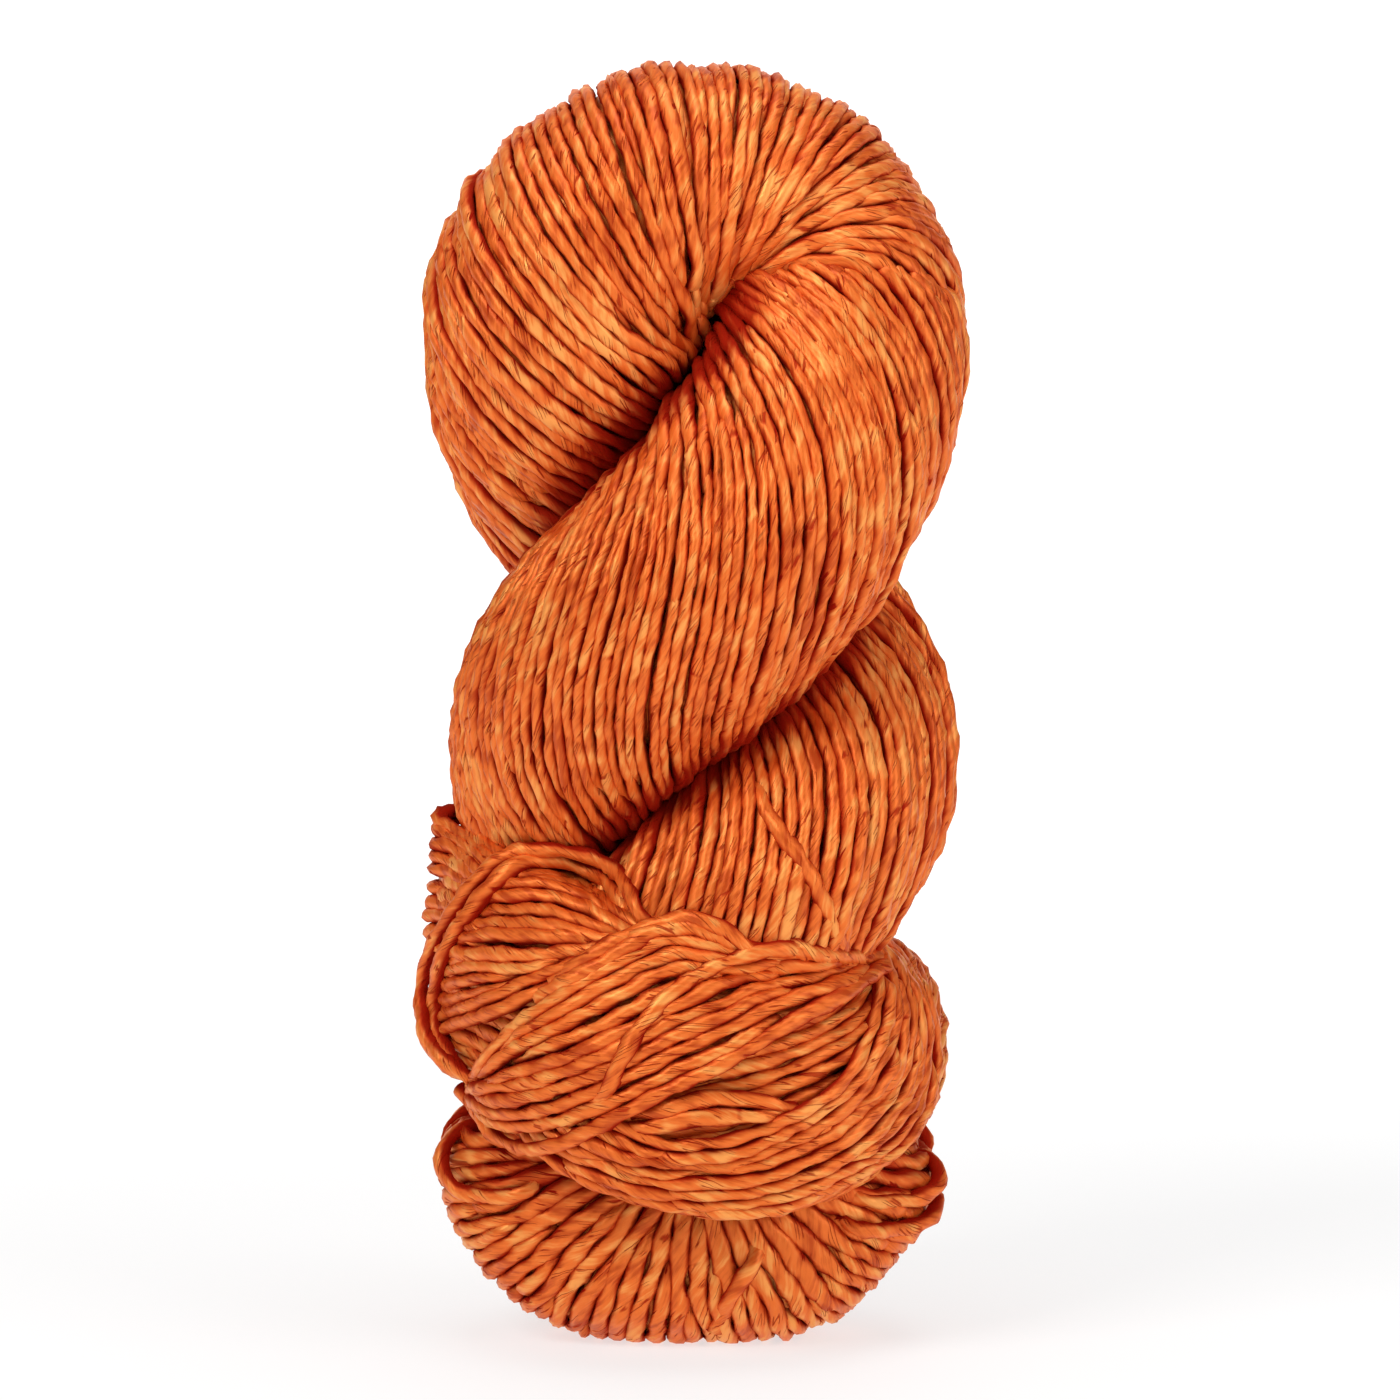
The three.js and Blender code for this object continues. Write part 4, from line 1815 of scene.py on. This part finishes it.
@dataclass
class Plies:
    """The two plies and the head, in two layers of strands."""

    finish: bpy.types.Material
    outer: Layer = Layer(depth=1.05, spacing=2.3, step=1.3, sides=10, seed=11, radius=1.2)
    under: Layer = Layer(depth=3.0, spacing=2.8, step=2.6, sides=6, seed=12)
    pieces: int = 3

    def strands(self, layer: Layer) -> list[Strand]:
        """Strands of one layer."""
        return PlySurface(layer.step).strands(layer)

    def build(self) -> list[bpy.types.Object]:
        """The pieces of both layers."""
        outer = self.strands(self.outer)
        made = [
            YarnMesh(self.outer.sides, self.outer.seed + i).build(
                f"plies_{i + 1}", outer[i :: self.pieces], self.finish
            )
            for i in range(self.pieces)
        ]
        under = self.strands(self.under)
        made.append(YarnMesh(self.under.sides, self.under.seed).build("plies_under", under, self.finish))
        return made


@dataclass
class Band:
    """The loop end that lies round the neck, in two layers of strands."""

    finish: bpy.types.Material
    outer: Layer = Layer(depth=1.1, spacing=2.4, step=1.4, sides=10, seed=21)
    under: Layer = Layer(depth=3.0, spacing=2.8, step=2.6, sides=6, seed=22)

    def strands(self, layer: Layer) -> list[Strand]:
        """Strands of one layer."""
        return BandSurface(layer.step).strands(layer)

    def build(self) -> list[bpy.types.Object]:
        """The pieces of both layers."""
        return [
            YarnMesh(layer.sides, layer.seed).build(name, self.strands(layer), self.finish)
            for name, layer in (("band", self.outer), ("band_under", self.under))
        ]


@dataclass
class Fan:
    """The fan of loop ends, in three layers of strands, with open loops at both ends."""

    finish: bpy.types.Material
    lean: float = 3.0
    loop_turn: float = 5.5
    loop_radius: float = 1.38
    loop_flatness: float = 0.92
    loop_step: float = 1.1
    loop_bulge: tuple[float, float, float] = (1.0, 1.6, 1.0)
    loop_sides: int = 12
    loop_seed: int = 34
    start_tail: tuple[tuple[float, float, float], ...] = ((-15.0, 8.0, 5.0), (-8.0, 1.0, 0.9))
    end_tail: tuple[tuple[float, float, float], ...] = ((-8.0, -1.0, -0.6), (-15.0, -8.0, -2.5))
    layers: tuple[Layer, ...] = (
        Layer(depth=1.2, spacing=3.0, step=1.4, sides=10, seed=31, radius=1.36),
        Layer(depth=3.0, spacing=3.0, step=2.2, sides=8, seed=32, radius=1.2),
        Layer(depth=5.6, spacing=3.1, step=3.2, sides=6, seed=33),
    )

    def strands(self, layer: Layer) -> list[Strand]:
        """Strands of one layer."""
        return FanSurface(layer.step, self.lean).strands(layer)

    def _loop_line(self, row: LoopRow) -> Array:
        """Points along one loop: out of the fan, round and back in.

        Args:
            row: The loop's sizes.

        Returns:
            Its points, its two tails included.
        """
        arc = np.radians(np.arange(-90, 91, 30))
        tall, middle = (row.high - row.low) / 2, (row.high + row.low) / 2
        inner = row.reach - self.loop_turn
        deep = row.front + (row.back - row.front) * np.linspace(0.25, 0.75, len(arc))
        turn = np.stack([inner + self.loop_turn * np.cos(arc), deep, middle + tall * np.sin(arc)], axis=-1)
        start = np.array([inner, row.front, row.low]) + np.array(self.start_tail)
        end = np.array([inner, row.back, row.high]) + np.array(self.end_tail)
        return np.concatenate([start, turn, end]) * np.array([row.side, 1, 1])

    def loop_strands(self) -> list[Strand]:
        """The open loops at both ends of the fan."""
        rng = np.random.default_rng(self.loop_seed)
        made = []
        for row in END_LOOPS:
            line = self._loop_line(row)
            keys = lengths_along(line)
            at = np.linspace(0, keys[-1], int(keys[-1] / self.loop_step))
            points = np.stack([smooth_curve(keys, line[:, k], at) for k in range(3)], axis=-1)
            outward = unit((points - np.array([0.0, 0.0, FAN_MIDDLE_HEIGHT])) * np.array(self.loop_bulge))
            radius = np.full(len(points), self.loop_radius * math.exp(rng.normal(0, SIZE_SPREAD)))
            made.append(Strand(points, outward, radius, self.loop_flatness * radius, rng.uniform(0, 1)))
        return made

    def build(self) -> list[bpy.types.Object]:
        """The pieces of all layers and of the end loops."""
        made = [
            YarnMesh(layer.sides, layer.seed).build(f"fan_{i + 1}", self.strands(layer), self.finish)
            for i, layer in enumerate(self.layers)
        ]
        made.append(YarnMesh(self.loop_sides, self.loop_seed).build("fan_ends", self.loop_strands(), self.finish))
        return made


@dataclass(frozen=True)
class Sheaf:
    """Yarn laid between guides, with its lift and layer, how far back it starts and its shortest strand."""

    name: str
    guides: tuple[tuple[Pick, ...], ...]
    lift: float
    layer: Layer
    behind: float = 0.0
    shortest: float = 11.0


@dataclass
class Crossings:
    """The turns of the band that cross each other in front, and the loose ones on top of them."""

    finish: bpy.types.Material
    view: FrontView
    step: float = 1.2
    slack: float = 1.1
    radius: float = 1.36
    flatness: float = 0.94
    size_spread: float = 0.04
    dive: float = 2.6
    end: float = 7.0
    smoothing: float = 4.0
    sway: float = 0.15
    sway_length: float = 12.0
    sides: int = 12
    seed: int = 45
    sheaves: tuple[Sheaf, ...] = (
        Sheaf("wraps", WRAPS, lift=0.4, layer=Layer(1.1, 2.3, 1.3, 10, 41, 1.2), behind=7.0),
        Sheaf("turns", TURNS, lift=0.7, layer=Layer(1.1, 2.4, 1.0, 10, 46, 1.2), behind=6.0, shortest=3.0),
        Sheaf("underlap", UNDERLAP, lift=0.0, layer=Layer(1.1, 2.3, 1.3, 10, 42, 1.2)),
        Sheaf("tucked", TUCKED, lift=0.6, layer=Layer(1.1, 2.4, 1.3, 10, 43, 1.2)),
        Sheaf("overlap", OVERLAP, lift=1.5, layer=Layer(1.1, 2.4, 1.3, 10, 44, 1.25), behind=8.0),
    )

    def sheaf_strands(self, sheaf: Sheaf) -> list[Strand]:
        """Strands of one sheaf."""
        return DrapedSurface(self.view, sheaf).strands(sheaf.layer)

    def stray_strands(self) -> list[Strand]:
        """The loose single strands."""
        rng = np.random.default_rng(self.seed)
        made = []
        for stray in STRAYS:
            length = float(lengths_along(front_places(stray.line))[-1]) * self.slack
            line = even_line(stray.line, int(length / self.step))
            points, outward = self.view.drape(line, max(1, int(self.smoothing / self.step)))
            place = np.arange(len(points)) * self.step
            whole = place[-1]
            under = np.maximum(smooth_step(self.end, 0, place), smooth_step(whole - self.end, whole, place))
            lift = stray.lift - self.dive * under
            lift = lift + self.sway * wander(rng, place[None], self.sway_length)[0]
            points = points + lift[:, None] * self.view.toward(points)
            radius = np.full(len(points), self.radius * math.exp(rng.normal(0, self.size_spread)))
            made.append(Strand(points, outward, radius, self.flatness * radius, rng.uniform(0, 1)))
        return made

    def build(self) -> list[bpy.types.Object]:
        """The pieces of the sheaves and of the loose strands."""
        made = [
            YarnMesh(sheaf.layer.sides, sheaf.layer.seed).build(
                sheaf.name, self.sheaf_strands(sheaf), self.finish
            )
            for sheaf in self.sheaves
        ]
        made.append(YarnMesh(self.sides, self.seed).build("strays", self.stray_strands(), self.finish))
        return made


@dataclass
class Core:
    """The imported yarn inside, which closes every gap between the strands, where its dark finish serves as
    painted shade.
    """

    finish: bpy.types.Material
    depth: float = 4.6
    every: int = 4
    around: int = 60
    ply_step: float = 1.3
    step: float = 1.4

    def build(self) -> list[bpy.types.Object]:
        """The insides of the plies, the band and the fan."""
        made = []
        for name, surface, closed in (
            ("core_plies", PlySurface(self.ply_step), True),
            ("core_band", BandSurface(self.step), True),
            ("core_fan", FanSurface(self.step, 0.0), False),
        ):
            points, faces = surface.shell(self.depth, self.every, self.around, closed)
            mesh = bpy.data.meshes.new(name)
            fill_mesh(mesh, points, faces)
            made.append(link_piece(name, mesh, self.finish))
        return made


@dataclass
class Studio:
    """Pale floor, soft light and the camera."""

    scale: float = PIXELS_A_MILLIMETRE
    frame_pixels: int = 1400
    distance: float = 1500.0
    elevation: float = 6.0
    aim: tuple[float, float, float] = (0.8, 0.0, 107.0)
    ambient: float = 0.16

    def front_view(self, solid: bpy.types.Object) -> FrontView:
        """The camera's view of a solid."""
        mesh = solid.data
        mesh.calc_loop_triangles()
        corners = [vertex.co for vertex in mesh.vertices]
        faces = [tuple(triangle.vertices) for triangle in mesh.loop_triangles]
        return FrontView(BVHTree.FromPolygons(corners, faces), self.distance, self.elevation, self.aim)

    def build(self) -> None:
        """Adds floor, lights and camera to the scene."""
        self._camera()
        self._floor()
        self._light("key", (-0.60, -0.75, 0.85), 0.5, 7.0)
        self._light("fill", (0.80, -0.60, 0.45), 0.6, 3.6)
        self._light("top", (0.05, 0.0, 1.0), 0.6, 4.0)
        world = bpy.data.worlds.new("studio")
        world.use_nodes = True
        world.node_tree.nodes["Background"].inputs[0].default_value = (1.0, 1.0, 1.0, 1.0)
        world.node_tree.nodes["Background"].inputs[1].default_value = self.ambient
        bpy.context.scene.world = world
        bpy.context.scene.view_settings.view_transform = "Standard"

    def _camera(self) -> None:
        """A long lens at the height of the skein's middle, looking slightly down."""
        data = bpy.data.cameras.new("camera")
        data.sensor_width = 36.0
        data.lens = data.sensor_width * self.distance * self.scale / self.frame_pixels
        camera = bpy.data.objects.new("camera", data)
        tilt = math.radians(self.elevation)
        back = Vector((0.0, -math.cos(tilt), math.sin(tilt)))
        camera.location = (Vector(self.aim) + back * self.distance) * MM
        camera.rotation_mode = "QUATERNION"
        camera.rotation_quaternion = (-back).to_track_quat("-Z", "Y")
        data.clip_end = 100.0
        bpy.context.scene.collection.objects.link(camera)
        bpy.context.scene.camera = camera

    @staticmethod
    def _floor() -> None:
        """A pale floor and a white wall, both bright of themselves; the floor glows less near the skein, a painted
        shade round its foot.
        """
        wide, deep, tall = 1.6, 3.0, 1.8
        floor = [(-wide, -wide, 0), (wide, -wide, 0), (wide, deep, 0), (-wide, deep, 0)]
        wall = [(-wide, deep, 0), (wide, deep, 0), (wide, deep, tall), (-wide, deep, tall)]
        for name, corners in (("studio_floor", floor), ("studio_wall", wall)):
            mesh = bpy.data.meshes.new(name)
            mesh.from_pydata(corners, [], [(0, 1, 2, 3)])
            sheet = Sheet(name)
            place = sheet.node("ShaderNodeTexCoord", {}, {}).outputs["Object"]
            grain = sheet.noise(place, 3.0)
            white, near_white = (0.33, 0.33, 0.33, 1.0), (0.35, 0.35, 0.35, 1.0)
            sheet.feed(sheet.shader.inputs["Base Color"], sheet.blend(grain, white, near_white))
            length = sheet.node("ShaderNodeVectorMath", {"operation": "LENGTH"}, {0: place})
            away = Value(sheet, length.outputs[1])
            # Painted shade: the floor's glow dims toward the skein, standing for its shadow on the floor
            low, full = (0.66, 0.66, 0.66, 1.0), (1.0, 1.0, 1.0, 1.0)
            glow_with_painted_shade = sheet.blend(away.ramp(0.08, 0.75), low, full)
            sheet.feed(sheet.shader.inputs["Emission Color"], glow_with_painted_shade)
            sheet.shader.inputs["Emission Strength"].default_value = 1.0
            sheet.shader.inputs["Roughness"].default_value = 0.8
            mesh.materials.append(sheet.material)
            piece = bpy.data.objects.new(name, mesh)
            bpy.context.scene.collection.objects.link(piece)

    @staticmethod
    def _light(name: str, place: tuple[float, float, float], size: float, power: float) -> None:
        """A square soft light that faces the middle of the skein.

        Args:
            name: Name of the light.
            place: Where it stands, in metres.
            size: Its side in metres.
            power: Its power in watts.
        """
        data = bpy.data.lights.new(name, "AREA")
        data.size = size
        data.energy = power
        light = bpy.data.objects.new(name, data)
        light.location = place
        to_skein = Vector((0.0, 0.0, 0.1)) - Vector(place)
        light.rotation_mode = "QUATERNION"
        light.rotation_quaternion = to_skein.to_track_quat("-Z", "Y")
        bpy.context.scene.collection.objects.link(light)


def settle(piece: bpy.types.Object) -> None:
    """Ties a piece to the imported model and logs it."""
    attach(piece, BODY)
    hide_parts(NODE)
    LOG.info("%s: %d faces", piece.name, len(piece.data.polygons))


def main() -> None:
    """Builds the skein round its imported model, piece by piece."""
    logging.basicConfig(level=logging.INFO, format="%(name)s %(message)s")
    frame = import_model()
    studio = Studio()
    studio.build()
    silk = SilkFinish().material()
    view = studio.front_view(frame["nodes"][NODE])
    for part in (Core(CoreShadeFinish().material()), Plies(silk), Band(silk), Fan(silk), Crossings(silk, view)):
        for piece in part.build():
            settle(piece)


if __name__ == "__main__":
    main()
